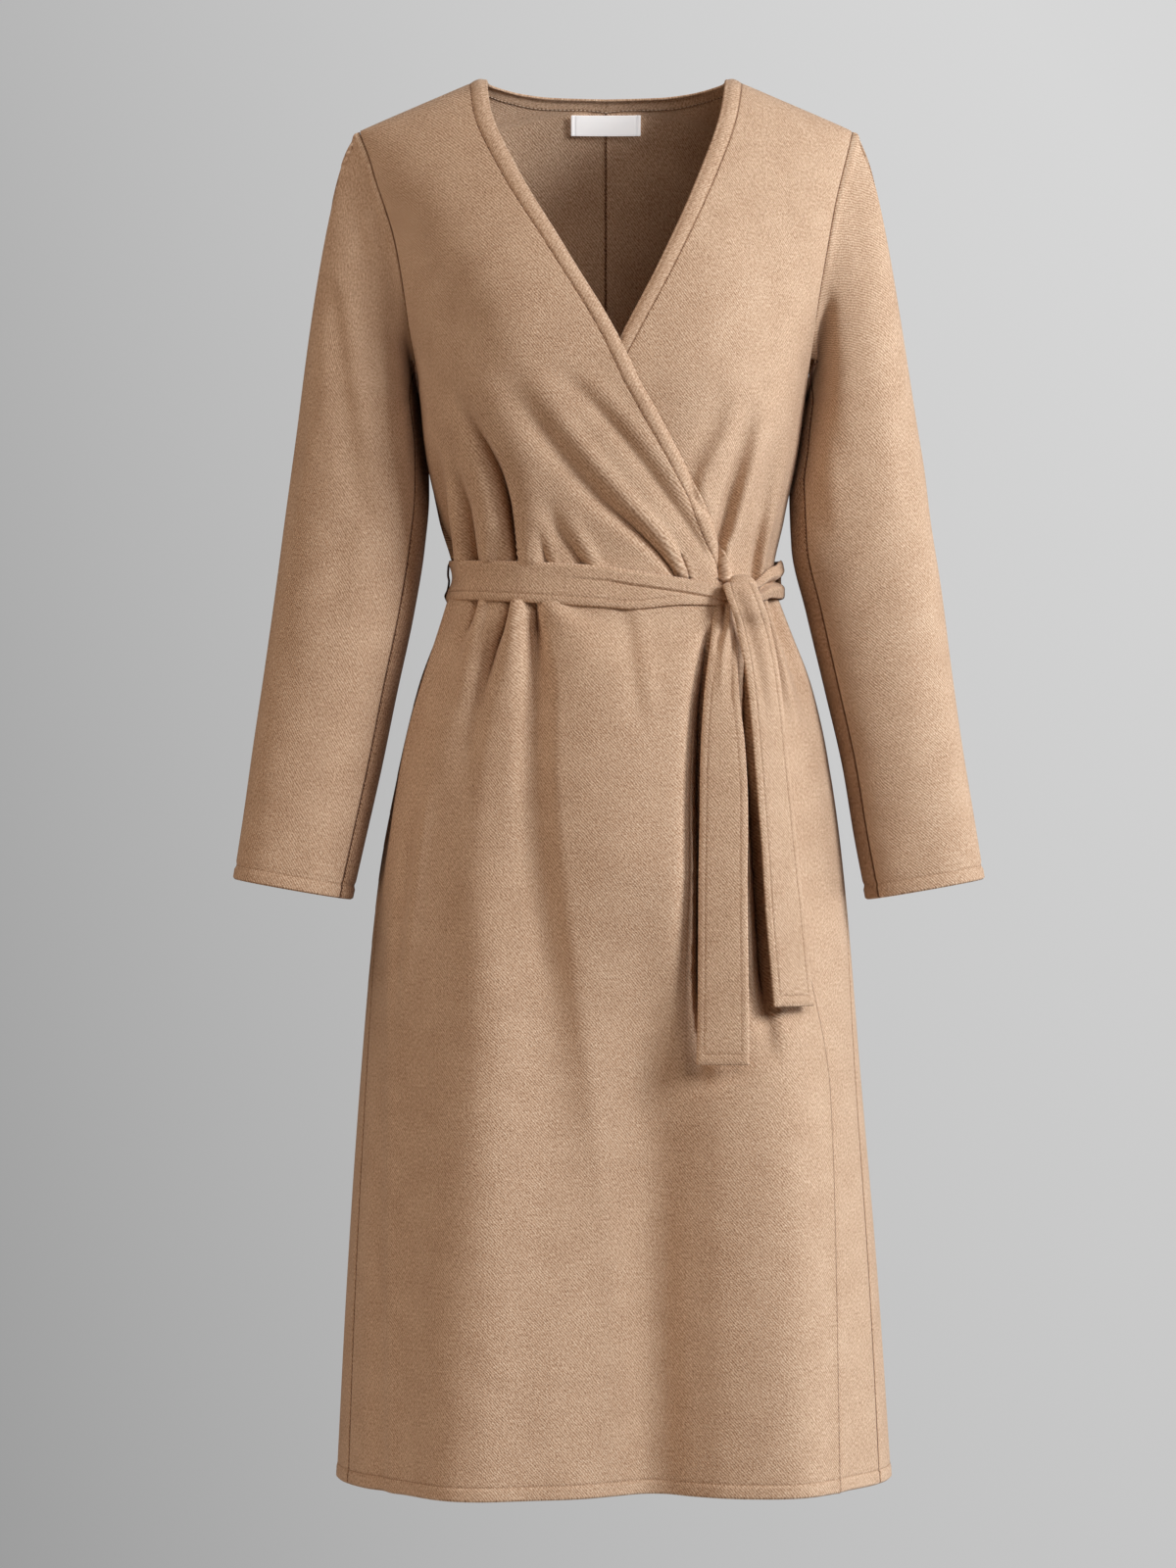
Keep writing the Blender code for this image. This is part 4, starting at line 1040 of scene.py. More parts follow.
def bandGrid(way, edge, stand, shares):
    # points and normals of one half of the neck band, from the belt up and round to the centre back
    frontRows = clothRows[clothRows > neckBand["endZ"]][::-1]
    outerX = edge(frontRows)
    innerX = outerX + way * neckBand["reach"]
    turns = turnOf(spaced(innerX, outerX, shares), frontRows[:, None])
    points, normals = surface(turns, frontRows[:, None])
    points = points + np.array([0.0, -seams["shoulderShift"], 0.0])
    level = stand(turns, frontRows[:, None])

    inset, lowest = backInset()
    backRows = np.append(clothRows[clothRows > lowest][1:], lowest)
    insetX = np.append(np.maximum(inset(backRows[:-1]), 0.0), seams["gap"] / 2)
    # closer steps along the flat stretch at the centre back
    near = np.append(np.linspace(1, 0, 14)[1:-1], (0.035, 0.012))
    backRows = np.concatenate([backRows[:-1], lowest + (backRows[-2] - lowest) * near, [lowest]])
    insetX = np.concatenate([insetX[:-1], insetX[-2] * near, [seams["gap"] / 2]])
    outline = curve(neckBand["backTop"])
    reach = (body["neckX"] + neckBand["reach"]) / body["neckX"]
    rimX = np.maximum(insetX / reach, seams["gap"] / 2)
    rimRows = rowOf(rimX, outline(rimX))
    xs, rowGrid = spaced(insetX, rimX, shares), spaced(backRows, rimRows, shares)
    backPoints, backNormals = surface(turnOf(way * xs, rowGrid, behind=True), rowGrid)
    backPoints = backPoints + np.array([0.0, seams["shoulderShift"], 0.0])
    joined = np.concatenate([points, backPoints]), np.concatenate([normals, backNormals])
    return *joined, np.concatenate([level, np.zeros(xs.shape)])


def buildBands():
    look = neckBand
    shares = np.array(look["shares"])
    made = {}
    puff = look["puff"] * ease(shares / 0.30) * (1 - 0.45 * ease((shares - 0.75) / 0.25))
    puff = puff - look["ditch"] * (1 - ease(shares / 0.12))
    for side, way, edge, stand in frontSides:
        points, normals, level = bandGrid(way, edge, stand, shares)
        roll = look["roll"] * ease((shares - 0.5) / 0.5) ** 1.5
        level = level - roll
        proud = (level + puff[None, :])[..., None]
        lifted = points + proud * normals
        inside = points + (level[..., None] - look["wall"]) * normals
        along = runLengths(points, 0)[:, len(shares) // 2]
        along = way * (along[-1] - along)  # counted from the centre back
        over = np.broadcast_to(shares * look["width"], level.shape)
        weave = np.stack([over, np.broadcast_to(along[:, None], level.shape), over], axis=-1)
        behind = points[:, 0, 1] > 0
        stitchPaths["neck"].append((lifted[:, 1] * 0.6 + lifted[:, 0] * 0.4)[~behind])
        stitchPaths["back neck"].append((inside[:, 1] - normals[:, 1] * 0.0003)[behind])
        if way < 0:
            lifted, inside, weave = lifted[::-1], inside[::-1], weave[::-1]
        name, rims = "neck_band_" + side, (0.35, 1, 0.35, 0.5)
        made[name] = cloth("cloth_" + name, lifted, inside, weave, pressedWool, rims=rims, seamShade=0.15)
    return made


bodyPieces = buildFronts() | buildBacks() | buildBands()
print("body ready")

sleeves = {
    "rings": [  # outer z, right outer, right inner, left outer, left inner, half depth, forward
        (-0.2300, 0.2478, 0.1500, 0.2488, 0.1608, 0.050, 0.000),
        (-0.2620, 0.2518, 0.1455, 0.2538, 0.1558, 0.052, 0.000),
        (-0.2980, 0.2566, 0.1445, 0.2596, 0.1496, 0.052, 0.001),
        (-0.3400, 0.2622, 0.1478, 0.2646, 0.1510, 0.051, 0.003),
        (-0.3950, 0.2692, 0.1565, 0.2730, 0.1630, 0.049, 0.006),
        (-0.4600, 0.2780, 0.1700, 0.2810, 0.1780, 0.045, 0.011),
        (-0.5230, 0.2870, 0.1825, 0.2894, 0.1920, 0.042, 0.017),
        (-0.5800, 0.2946, 0.1950, 0.2984, 0.2012, 0.039, 0.023),
        (-0.6290, 0.3018, 0.2058, 0.3060, 0.2104, 0.037, 0.028),
    ],
    "slope": 10,  # of the rings, in degrees
    "rows": (64, 122),  # above the first full ring, and from it to the cuff
    "headLift": 1.1,
    "seamsAt": (0.90, 0.72),  # how far down the armhole the front and back seams start
    "headPuff": 0.0013,
    "headAt": (0.0045, 0.0036),  # the puff's middle below the armhole seam, and its width
    "seamDip": 0.0008,
    "armholeDip": (0.0012, 0.0014),
    "pitFrom": 0.4,  # the armpit's folds come in over this share of the sleeve's upper part
    "cuff": 0.0100,
    "cuffExtra": 0.0010,
    "cuffDitch": 0.0008,
    "againstBodyShade": 0.62,  # painted shade: how much darker the side is that lies against the body and is shaded by it
}
rightSleeveForms = {
    "forearm": [(-260, -400, 0, 14), (-258, -470, -1.4, 14), (-264, -560, 0, 14)],
}
rightSleevePleats = {
    "head crease": [(-203, -55, 0, 7), (-199, -83, 0.8, 7), (-193, -114, 1.6, 7), (-186, -141, 0, 7)],
    "long crease": [
        (-222, -138, 0, 8), (-215, -161, 1.8, 8), (-203, -247, 2.4, 9), (-194, -302, 2, 10),
        (-183, -349, 0, 10),
    ],
    "outer crease": [(-241, -247, 0, 7), (-244, -279, 1.4, 7), (-250, -318, 1.4, 7), (-253, -349, 0, 7)],
    "elbow crease": [(-200, -330, 0, 10), (-205, -380, 1.2, 11), (-216, -440, 0, 11)],
}
leftSleeveForms = {
    "forearm": [(264, -420, 0, 14), (262, -500, -1.2, 14), (270, -580, 0, 14)],
}
leftSleevePleats = {
    "body edge": [
        (175, -175, 0, 4), (172, -193, 3, 4), (163, -247, 6, 5), (153, -310, 5, 4), (147, -335, 2, 3),
    ],
    "elbow patch": [(176, -270, 0, 8), (177, -300, 1.3, 9), (179, -330, 1.3, 9), (182, -365, 0, 9)],
    "long crease": [(191, -185, 0, 11), (186, -240, 1.5, 11), (191, -302, 0, 11)],
    "outer crease": [(244, -230, 0, 8), (249, -290, 1.2, 8), (256, -350, 0, 8)],
}
# how far the inner side of each sleeve falls back beside the body: x, z, depth and half width
armpits = {
    -1: [
        (-160, -180, 0, 8), (-155, -215, 20, 10), (-150, -262, 26, 11), (-148, -310, 16, 10),
        (-152, -360, 0, 8),
    ],
    1: [
        (178, -150, 0, 7), (174, -185, 17, 8), (168, -222, 22, 10), (162, -263, 24, 10),
        (155, -305, 16, 10), (152, -350, 0, 8),
    ],
}
rightOuter, rightInner, leftOuter, leftInner, armDepth, armForward = columns(sleeves["rings"])


noBelt = 9.0  # a height well clear of the dress


def armhole(angle, way):
    # point and normal of the armhole at an angle round the arm, 0 on top and 90 in front
    down = (1 - np.cos(angle)) / 2
    row = body["shoulderZ"] - down * (body["shoulderZ"] - body["underarmZ"])
    scoop = np.radians(body["scoop"]) * np.sin(math.pi * down) ** 0.6
    turn = math.pi / 2 - np.where(np.sin(angle) >= 0, scoop, -scoop)
    points, normals = surface(way * turn, row)
    return points + np.array([way * seams["armholeGap"], 0.0, -0.3 * seams["armholeGap"]]), normals


def sleeveRing(angle, outerZ, way):
    outer = leftOuter(outerZ) if way > 0 else rightOuter(outerZ)
    inner = leftInner(outerZ) if way > 0 else rightInner(outerZ)
    half = (outer - inner) / 2
    square = body["square"]
    roundX = np.sign(np.cos(angle)) * np.abs(np.cos(angle)) ** (2 / square)
    roundY = np.sign(np.sin(angle)) * np.abs(np.sin(angle)) ** (2 / square)
    x = way * (inner + half + half * roundX)
    y = -armForward(outerZ) - armDepth(outerZ) * roundY
    z = outerZ - half * math.tan(math.radians(sleeves["slope"])) * (1 - roundX)
    return np.stack(np.broadcast_arrays(x, y, z), axis=-1)


def sleevePoint(angle, along, way):
    # along is 0 at the armhole, 1 at the first full ring and 2 at the cuff
    first, last = sleeves["rings"][0][0], sleeves["rings"][-1][0]
    tube = sleeveRing(angle, first + (last - first) * np.clip(along - 1, 0, 1), way)
    start, normal = armhole(angle, way)
    ring = sleeveRing(angle, first, way)
    below = sleeveRing(angle, first - 0.02, way)
    reach = np.linalg.norm(ring - start, axis=-1, keepdims=True)
    leave = unit(np.cross(np.cross(normal, [way * 1.0, 0.0, -0.60]), normal))
    onTop = np.maximum(np.cos(angle), 0.0)[..., None] ** 3
    leave = unit(leave + sleeves["headLift"] * onTop * np.array([way, 0.0, 0.0]))
    arrive = unit(below - ring)
    t = np.clip(along, 0, 1)[..., None]
    rest = 1 - t
    cap = (
        rest**3 * start
        + 3 * rest**2 * t * (start + 0.12 * reach * leave)
        + 3 * rest * t**2 * (ring - 0.42 * reach * arrive)
        + t**3 * ring
    )
    return np.where(along[..., None] < 1, cap, tube)


def roundArm(drops):
    return np.arccos(1 - 2 * np.asarray(drops))


def sleeveGrid(way, angles, forms, pleats):
    above, below = sleeves["rows"]
    along = np.concatenate([np.linspace(0, 1, above) ** 1.5, np.linspace(1, 2, below)[1:]])
    fine = 2 - (2 - along[-3]) * np.array([0.75, 0.5, 0.3, 0.15, 0.05])
    along = np.unique(np.concatenate([along, fine]))
    angle, down = np.meshgrid(angles, along)
    points = sleevePoint(angle, down, way)
    step = 0.012
    offSeam = np.maximum(down, step)
    across = sleevePoint(angle + step, offSeam, way) - sleevePoint(angle - step, offSeam, way)
    lower, upper = np.minimum(down + step, 2.0), np.maximum(down - step, 0.0)
    alongArm = sleevePoint(angle, lower, way) - sleevePoint(angle, upper, way)
    normals = way * unit(np.cross(across, alongArm))
    faceFront = ease((-normals[..., 1] - 0.12) / 0.45)
    faceBack = ease((normals[..., 1] - 0.12) / 0.45)
    x, z = points[..., 0], points[..., 2]
    lift = formLift(x, z, forms, noBelt) + pleatLift(x, z, pleats, noBelt)
    points = points + (lift * (faceFront + 0.5 * faceBack))[..., None] * normals
    middle, deep, width = foldAt(armpits[way], z)
    back = deep * np.exp(-(((x - middle) / width) ** 2))
    back = back * ease((-normals[..., 1] + 0.3) / 0.6) * ease(down / sleeves["pitFrom"])
    return angle, points + back[..., None] * np.array([0.0, 1.0, 0.0]), normals


def sleevePart(name, way, angles, forms, pleats, againstBodyShade):
    angle, points, normals = sleeveGrid(way, angles, forms, pleats)
    fromArmhole = runLengths(points, 0)
    fromCuff = fromArmhole[-1:] - fromArmhole
    around = runLengths(points, 1)
    fromSeam = np.minimum(around, around[:, -1:] - around)
    onTop = np.clip(0.35 + np.cos(angle), 0, 1)
    puffAt, puffWidth = sleeves["headAt"]
    puff = sleeves["headPuff"] * onTop * np.exp(-(((fromArmhole - puffAt) / puffWidth) ** 2))
    shape = dip(fromArmhole, *sleeves["armholeDip"]) + puff + dip(fromSeam, sleeves["seamDip"])
    shape = shape + turnedEdge(fromCuff, sleeves["cuff"], sleeves["cuffDitch"])
    lifted = points + shape[..., None] * normals
    thick = body["cloth"] + sleeves["cuffExtra"] * ease((sleeves["cuff"] - fromCuff) / turned["fold"])
    thick = thick - dip(fromSeam, fronts["allowance"]) - dip(fromArmhole, fronts["allowance"], 0.0016)
    inside = points - thick[..., None] * normals
    stitchPaths["cuff"].append(crossing(lifted, fromCuff, sleeves["cuff"]))
    if way > 0:
        grids = (lifted, inside, points, angle, fromCuff)
        lifted, inside, points, angle, fromCuff = [grid[:, ::-1] for grid in grids]
    order = angle if angle[0, -1] > angle[0, 0] else -angle
    zero = math.pi / 2 if order is angle else -math.pi / 2
    if not order[0, 0] < zero < order[0, -1]:
        zero = float(order[0].mean())
    weave = weaveOf(points, order, zero, fromCuff - sleeves["cuff"])
    # painted shade on the side against the body; atop the armhole, a painted highlight that outweighs the
    # seam's painted shade there
    shadeAndHighlight = againstBodyShade * (0.5 - 0.5 * np.cos(angle)) ** 6
    shadeAndHighlight = shadeAndHighlight - 0.7 * np.maximum(np.cos(angle), 0.0) * np.exp(-((fromArmhole / 0.0022) ** 2))
    return cloth("cloth_" + name, lifted, inside, weave, camelWool, rims=(0.5, 0.5, 1, 0.5), shade=shadeAndHighlight)


def buildSleeves():
    frontSeam, backSeam = sleeves["seamsAt"]
    frontEnd, backEnd = float(roundArm(frontSeam)), -float(roundArm(backSeam))
    gap = seams["armTurn"] * 0.35
    made = {}
    folds = {"right": (rightSleeveForms, rightSleevePleats), "left": (leftSleeveForms, leftSleevePleats)}
    for side, way in (("right", -1), ("left", 1)):
        top = backEnd + gap + (frontEnd - backEnd - 2 * gap) * denser(104)
        under = frontEnd + gap + (2 * math.pi + backEnd - frontEnd - 2 * gap) * denser(44)
        # the under pieces get painted shade where they lie against the body
        for name, angles, againstBodyShade in (("sleeve_top_", top, 0.0), ("sleeve_under_", under, sleeves["againstBodyShade"])):
            made[name + side] = sleevePart(name + side, way, angles, *folds[side], againstBodyShade)
    return made


sleevePieces = buildSleeves()
print("sleeves ready")

strip = {
    "frontColumns": 190,
    "sideColumns": 60,
    "backColumns": 170,
    "edgeDip": 0.0007,
    "edgeWidth": 0.0012,
    "tailStitch": 0.0050,  # stitching this far in from the long edges of a hanging end
    "endStitch": 0.0078,
    "ditch": 0.0002,
    "ditchWidth": 0.0010,
    "endGap": 0.0012,  # between strips at the side seams
    "frontTo": 0.1020,  # the front strip ends here, under the knot, and the side strip starts at the next
    "sideFrom": 0.1080,
    "stitchTo": 0.060,  # no stitch marks on the front strip after this, and no groove after the next
    "ditchTo": 0.062,
    "endRow": -0.40,  # the row on which the strips' ends are placed
    "lineRow": -0.39,  # the row whose x the strips' edges follow
    "softly": 0.0006,  # the front strip's own roundness where it isn't folded
    "backSoftly": 0.0005,
    "thinnest": 0.0012,
}
tail = {
    "step": 0.0022,
    "lastSteps": [0.008, 0.0065, 0.0055, 0.0045, 0.003, 0.0015, 0.0006, 0],
    "crown": 0.0012,  # how far the middle stands over the edges
    "stitchFrom": (0.022, 0.006),  # stitched where at least this wide, over this growth
    "stitchedHalf": 0.0125,
}
sideBelt = {
    "top": [
        (0.1060, -0.3960), (0.1146, -0.3925), (0.1200, -0.3872), (0.1265, -0.3800), (0.1320, -0.3765),
        (0.1355, -0.3715),
    ],
    "bottom": [(0.1060, -0.4085), (0.1182, -0.4068), (0.1260, -0.4042), (0.1320, -0.4045), (0.1355, -0.4035)],
    "pleats": [(0.24, 0.17, 0.0038), (0.53, 0.08, -0.0085), (0.78, 0.14, 0.0030)],
    "from": 0.112,
    "reach": 0.036,  # how far from there the pleats run
}
knot = {
    "half": (0.0125, 0.0100, 0.0125),
    "stand": 0.0068,
    "folds": 3,
    "foldLift": 0.07,
    "foldTwist": 1.6,
    "square": (0.85, 0.8),  # below 1 the lump is squarer, seen from above and from the side
}
# Hanging ends: z, x, clearance in front of the skirt, width, facing in degrees
longTail = {
    "line": [
        (-0.4090, 0.0930, 0.0060, 0.0130, 10),
        (-0.4200, 0.0928, 0.0095, 0.0150, 10),
        (-0.4350, 0.0934, 0.0120, 0.0192, 8),
        (-0.4620, 0.0920, 0.0145, 0.0235, 5),
        (-0.4842, 0.0912, 0.0150, 0.0268, 2),
        (-0.5294, 0.0920, 0.0160, 0.0343, 0),
        (-0.5692, 0.0924, 0.0165, 0.0367, -1),
        (-0.6363, 0.0915, 0.0170, 0.0372, -3),
        (-0.7346, 0.0917, 0.0180, 0.0390, -3),
        (-0.7745, 0.0913, 0.0180, 0.0400, -3),
    ],
    # where across the width, from -1 to 1, each pleat runs, by height; then width and lift
    "pleats": [
        ([(-0.410, 0.80), (-0.4274, 0.52), (-0.4383, 0.15), (-0.456, -0.05), (-0.490, -0.10)], 0.30, 0.0030),
        ([(-0.410, 0.10), (-0.4274, -0.05), (-0.4370, -0.40), (-0.4550, -0.60)], 0.24, -0.0036),
        ([(-0.430, 0.85), (-0.4600, 0.55), (-0.5100, 0.45)], 0.25, -0.0018),
    ],
}
shortTail = {
    "over": [  # the turn over the knot: x, how far in front of the knot's middle, z, width, facing
        (0.1050, -0.0060, -0.4060, 0.0200, 4),
        (0.1054, -0.0030, -0.3972, 0.0235, 4),
        (0.1056, 0.0045, -0.3935, 0.0245, 4),
        (0.1066, 0.0118, -0.3962, 0.0255, 4),
        (0.1096, 0.0158, -0.4050, 0.0265, 8),
        (0.1136, 0.0172, -0.4160, 0.0268, 13),
    ],
    "line": [
        (-0.4290, 0.1176, 0.0330, 0.0272, 18),
        (-0.4450, 0.1212, 0.0320, 0.0280, 22),
        (-0.4620, 0.1242, 0.0310, 0.0288, 26),
        (-0.4850, 0.1270, 0.0300, 0.0300, 30),
        (-0.5400, 0.1322, 0.0270, 0.0330, 36),
        (-0.6000, 0.1376, 0.0240, 0.0350, 37),
        (-0.6650, 0.1431, 0.0210, 0.0378, 36),
        (-0.7290, 0.1492, 0.0190, 0.0375, 33),
    ],
    "pleats": [
        ([(-0.400, -0.45), (-0.4300, -0.40), (-0.4700, -0.30), (-0.5100, -0.20)], 0.28, -0.0016),
        ([(-0.400, 0.30), (-0.4300, 0.25), (-0.4700, 0.20), (-0.5200, 0.15)], 0.35, 0.0012),
    ],
}


def atRightSide(turn):
    # 1 at the end of the belt that the thread loop holds
    turn = np.where(turn > math.pi, turn - 2 * math.pi, turn)
    return np.exp(-(((turn + math.pi / 2) / math.radians(belt["loopSpan"])) ** 2))


def beltStand(turn):
    start, over = belt["behindFrom"]
    behind = ease((np.abs(turn) - math.radians(start)) / math.radians(over))
    stand = belt["standFront"] - belt["standLess"] * behind
    return belt["wall"] + stand * (1 - belt["loopHold"] * atRightSide(turn))


def frontY(x, z):
    return surface(turnOf(x, z), z, False)[0][..., 1]


def beltPiece(name, turns, top, bottom, profile, stitched, sewn=True):
    # a strip of belt round the body; profile gives its relief from x and the distance below its top edge
    shares = np.concatenate([[0, 0.012, 0.035], np.linspace(0.075, 0.925, 30), [0.965, 0.988, 1]])[:, None]
    rows = top + (bottom - top) * shares
    turnGrid = np.broadcast_to(turns, rows.shape)
    points, normals = surface(turnGrid, rows, False)
    below = (top - bottom) * shares
    above = (top - bottom) * (1 - shares)
    stand = beltStand(turnGrid) + profile(points[..., 0], below, above)
    for fromEdge in (below, above):
        stand = stand + dip(fromEdge, strip["edgeDip"], strip["edgeWidth"])
    stand = stand - belt["sideHollow"] * atRightSide(turnGrid) * np.sin(math.pi * np.clip(shares * 1.3, 0, 1))
    lifted = points + stand[..., None] * normals
    under = np.minimum(beltStand(turnGrid) - belt["wall"], stand - strip["thinnest"])
    inside = points + under[..., None] * normals
    if sewn:
        line = crossing(lifted, above, belt["stitchUp"])
        stitchPaths["belt"].append(line[(line[:, 0] < belt["sewnTo"]) | (line[:, 1] > 0)])
    weave = weaveOf(lifted, stitched=stitched(points[..., 0], above))[..., [1, 0, 2]]
    return cloth("cloth_" + name, lifted, inside, weave, camelWool)


def buildBelt():
    gap = strip["endGap"]
    made = {}

    def rounded(below):
        return np.sin(math.pi * np.clip(below / belt["height"], 0, 1))

    def creased(x, below, above):
        start, full = belt["creaseFrom"]
        on = ease((x - start) / (full - start))
        past = ease((below - belt["creaseDown"] + 0.0006) / 0.0010)
        step = belt["creaseStep"] * on * (1 - past)
        under = dip(below - belt["creaseDown"] - 0.0008, 0.0010, 0.0010) * on
        soft = strip["softly"] * (1 - on) * rounded(below)
        ditch = dip(above - belt["stitchUp"], strip["ditch"], strip["ditchWidth"]) * (x < strip["ditchTo"])
        return step + under + soft + ditch

    def frontStitch(x, above):
        return np.where(x < strip["stitchTo"], above - belt["stitchUp"], 1.0)

    def plain(x, below, above):
        ditch = dip(above - belt["stitchUp"], strip["ditch"], strip["ditchWidth"])
        return strip["backSoftly"] * rounded(below) + ditch

    def allStitch(x, above):
        return above - belt["stitchUp"]

    def pleated(x, below, above):
        share = below / (below + above)
        near = np.exp(-(((x - sideBelt["from"]) / sideBelt["reach"]) ** 2))
        total = np.zeros_like(share)
        for middle, width, lift in sideBelt["pleats"]:
            total = total + lift * near * np.exp(-(np.abs((share - middle) / width) ** 1.7))
        return total

    last = float(turnOf(strip["frontTo"], strip["endRow"]))
    turns = np.linspace(-math.pi / 2 + gap, last, strip["frontColumns"])[None, :]
    x = surface(turns, np.full_like(turns, strip["lineRow"]), False)[0][..., 0]
    made["belt_front"] = beltPiece("belt_front", turns, beltTop(x), beltBottom(x), creased, frontStitch)
    first = float(turnOf(strip["sideFrom"], strip["endRow"]))
    turns = np.linspace(first, math.pi / 2 - gap, strip["sideColumns"])[None, :]
    x = surface(turns, np.full_like(turns, strip["lineRow"]), False)[0][..., 0]
    top, bottom = curve(sideBelt["top"])(x), curve(sideBelt["bottom"])(x)
    made["belt_side"] = beltPiece("belt_side", turns, top, bottom, pleated, lambda x, above: 1.0, False)
    turns = np.linspace(math.pi / 2 + gap, 1.5 * math.pi - gap, strip["backColumns"])[None, :]
    half = belt["height"] / 2
    top, bottom = np.full_like(turns, belt["backZ"] + half), np.full_like(turns, belt["backZ"] - half)
    made["belt_back"] = beltPiece("belt_back", turns, top, bottom, plain, allStitch)
    return made


def ribbon(name, line, pleats, stitch, endStitch):
    # a flat hanging end: line holds x, y, z, width and facing along it
    x, y, z, width, facing = line.T
    along = np.concatenate([[0], np.cumsum(np.linalg.norm(np.diff(line[:, :3], axis=0), axis=1))])
    lastSteps = np.array(tail["lastSteps"])
    steps = np.concatenate([np.arange(0, along[-1] - lastSteps[0], tail["step"]), along[-1] - lastSteps])
    x, y, z, width, facing = [curve(zip(along, value))(steps) for value in (x, y, z, width, facing)]
    centre = np.stack([x, y, z], axis=-1)
    facing = np.radians(facing)
    across = np.stack([np.cos(facing), np.sin(facing), np.zeros_like(z)], axis=-1)
    out = unit(np.cross(np.gradient(centre, axis=0), across))
    shares = np.concatenate([[-1, -0.97, -0.92], np.linspace(-0.85, 0.85, 21), [0.92, 0.97, 1]])
    half = width[:, None] / 2
    fromEdge = half * (1 - np.abs(shares))[None, :]
    fromEnd = (along[-1] - steps)[:, None]
    crown = tail["crown"] * (1 - shares**2)
    lift = crown[None, :] + np.zeros_like(fromEdge)
    for path, pleatWidth, height in pleats:
        ends = np.array(path)[:, 0]
        middle = curve(path)(z)[:, None]
        share = (ends.max() - z) / (ends.max() - ends.min())
        fade = (ease(share / 0.1 + 0.4) * ease((1 - share) / 0.45) * (share > -0.05))[:, None]
        lift = lift + height * fade * np.exp(-(np.abs((shares[None, :] - middle) / pleatWidth) ** 1.8))
    onStitch = np.minimum(fromEdge - stitch, fromEnd - endStitch)
    least, growth = tail["stitchFrom"]
    wideEnough = ease((half * 2 - least) / growth)
    lift = lift + dip(onStitch, strip["ditch"], strip["ditchWidth"]) * wideEnough
    lift = lift + dip(np.minimum(fromEdge, fromEnd), strip["edgeDip"], strip["edgeWidth"])
    flat = centre[:, None, :] + (half * shares[None, :])[..., None] * across[:, None, :]
    lifted = flat + lift[..., None] * out[:, None, :]
    inside = flat + (crown - belt["wall"])[None, :, None] * out[:, None, :]
    stitched = np.where(wideEnough > 0.3, onStitch, 1.0)
    weave = weaveOf(lifted, stitched=stitched)
    stitchPaths["belt"].append(tailStitches(lifted, shares, half, fromEnd, stitch, endStitch))
    return cloth("cloth_" + name, lifted, inside, weave, camelWool)


def tailStitches(lifted, shares, half, fromEnd, stitch, endStitch):
    # down one side, across the end and up the other side
    rows = np.nonzero((fromEnd[:, 0] > endStitch) & (half[:, 0] > tail["stitchedHalf"]))[0]
    sides = []
    for way in (-1, 1):
        line = []
        for i in rows:
            share = way * (1 - stitch / half[i, 0])
            line.append([np.interp(share, shares, lifted[i, :, k]) for k in range(3)])
        sides.append(np.array(line))
    end = rows[-1]
    t = np.linspace(0, 1, 20)[1:-1, None]
    bottom = sides[0][-1] * (1 - t) + sides[1][-1] * t
    for point in bottom:
        nearest = np.argmin(np.abs(lifted[end, :, 0] - point[0]))
        point[1] = lifted[end, nearest, 1]
    return np.concatenate([sides[0], bottom, sides[1][::-1]])


def hangingLine(table):
    return np.array([(x, frontY(x, z) - clear, z, width, facing) for z, x, clear, width, facing in table])


def knotMiddle():
    x, z = belt["knot"]
    point, normal = surface(turnOf(x, z), z, False)
    return point + normal * (knot["half"][1] + knot["stand"])


def buildKnot():
    # the pulled-tight lump under the wrap, with folds running round it
    middle = knotMiddle()
    wide, deep, high = knot["half"]
    leans, angles = np.linspace(0.02, math.pi - 0.02, 50), np.linspace(0, 2 * math.pi, 72)
    lean, angle = np.meshgrid(leans, angles, indexing="ij")
    power, ringPower = knot["square"]
    ring = np.sin(lean) ** ringPower
    fold = np.sin(knot["folds"] * angle + knot["foldTwist"] * np.cos(lean) + 0.6)
    crease = knot["foldLift"] * fold * np.sin(lean)
    across = np.sign(np.cos(angle)) * np.abs(np.cos(angle)) ** power
    out = np.sign(np.sin(angle)) * np.abs(np.sin(angle)) ** power
    ring = ring * (1 + crease)
    points = middle + np.stack([wide * ring * across, deep * ring * out, high * np.cos(lean)], axis=-1)
    rows, around = points.shape[:2]
    index = np.arange(rows * around).reshape(rows, around)
    index[:, -1] = index[:, 0]
    quads = np.stack([index[:-1, :-1], index[:-1, 1:], index[1:, 1:], index[1:, :-1]], axis=-1).reshape(-1, 4)
    flat = points.reshape(-1, 3)
    flat[index[0, :-1]] = middle + np.array([0, 0, high])
    flat[index[-1, :-1]] = middle - np.array([0, 0, high])
    piece = meshOf("cloth_belt_knot", flat, quads[:, ::-1], camelWool)
    weave = np.stack([0.012 * angle, 0.013 * lean, np.ones_like(lean)], axis=-1)
    setWeave(piece, weave.reshape(-1, 3))
    return {"belt_knot": piece}


def buildTails():
    made = {}
    stitches = strip["tailStitch"], strip["endStitch"]
    line = hangingLine(longTail["line"])
    made["belt_tail_long"] = ribbon("belt_tail_long", line, longTail["pleats"], *stitches)
    knotY = knotMiddle()[1]
    rows = shortTail["over"]
    over = np.array([(x, knotY - front, z, width, facing) for x, front, z, width, facing in rows])
    line = np.concatenate([over, hangingLine(shortTail["line"])])
    made["belt_tail_short"] = ribbon("belt_tail_short", line, shortTail["pleats"], *stitches)
    return made


beltPieces = buildBelt() | buildKnot() | buildTails()
print("belt ready")

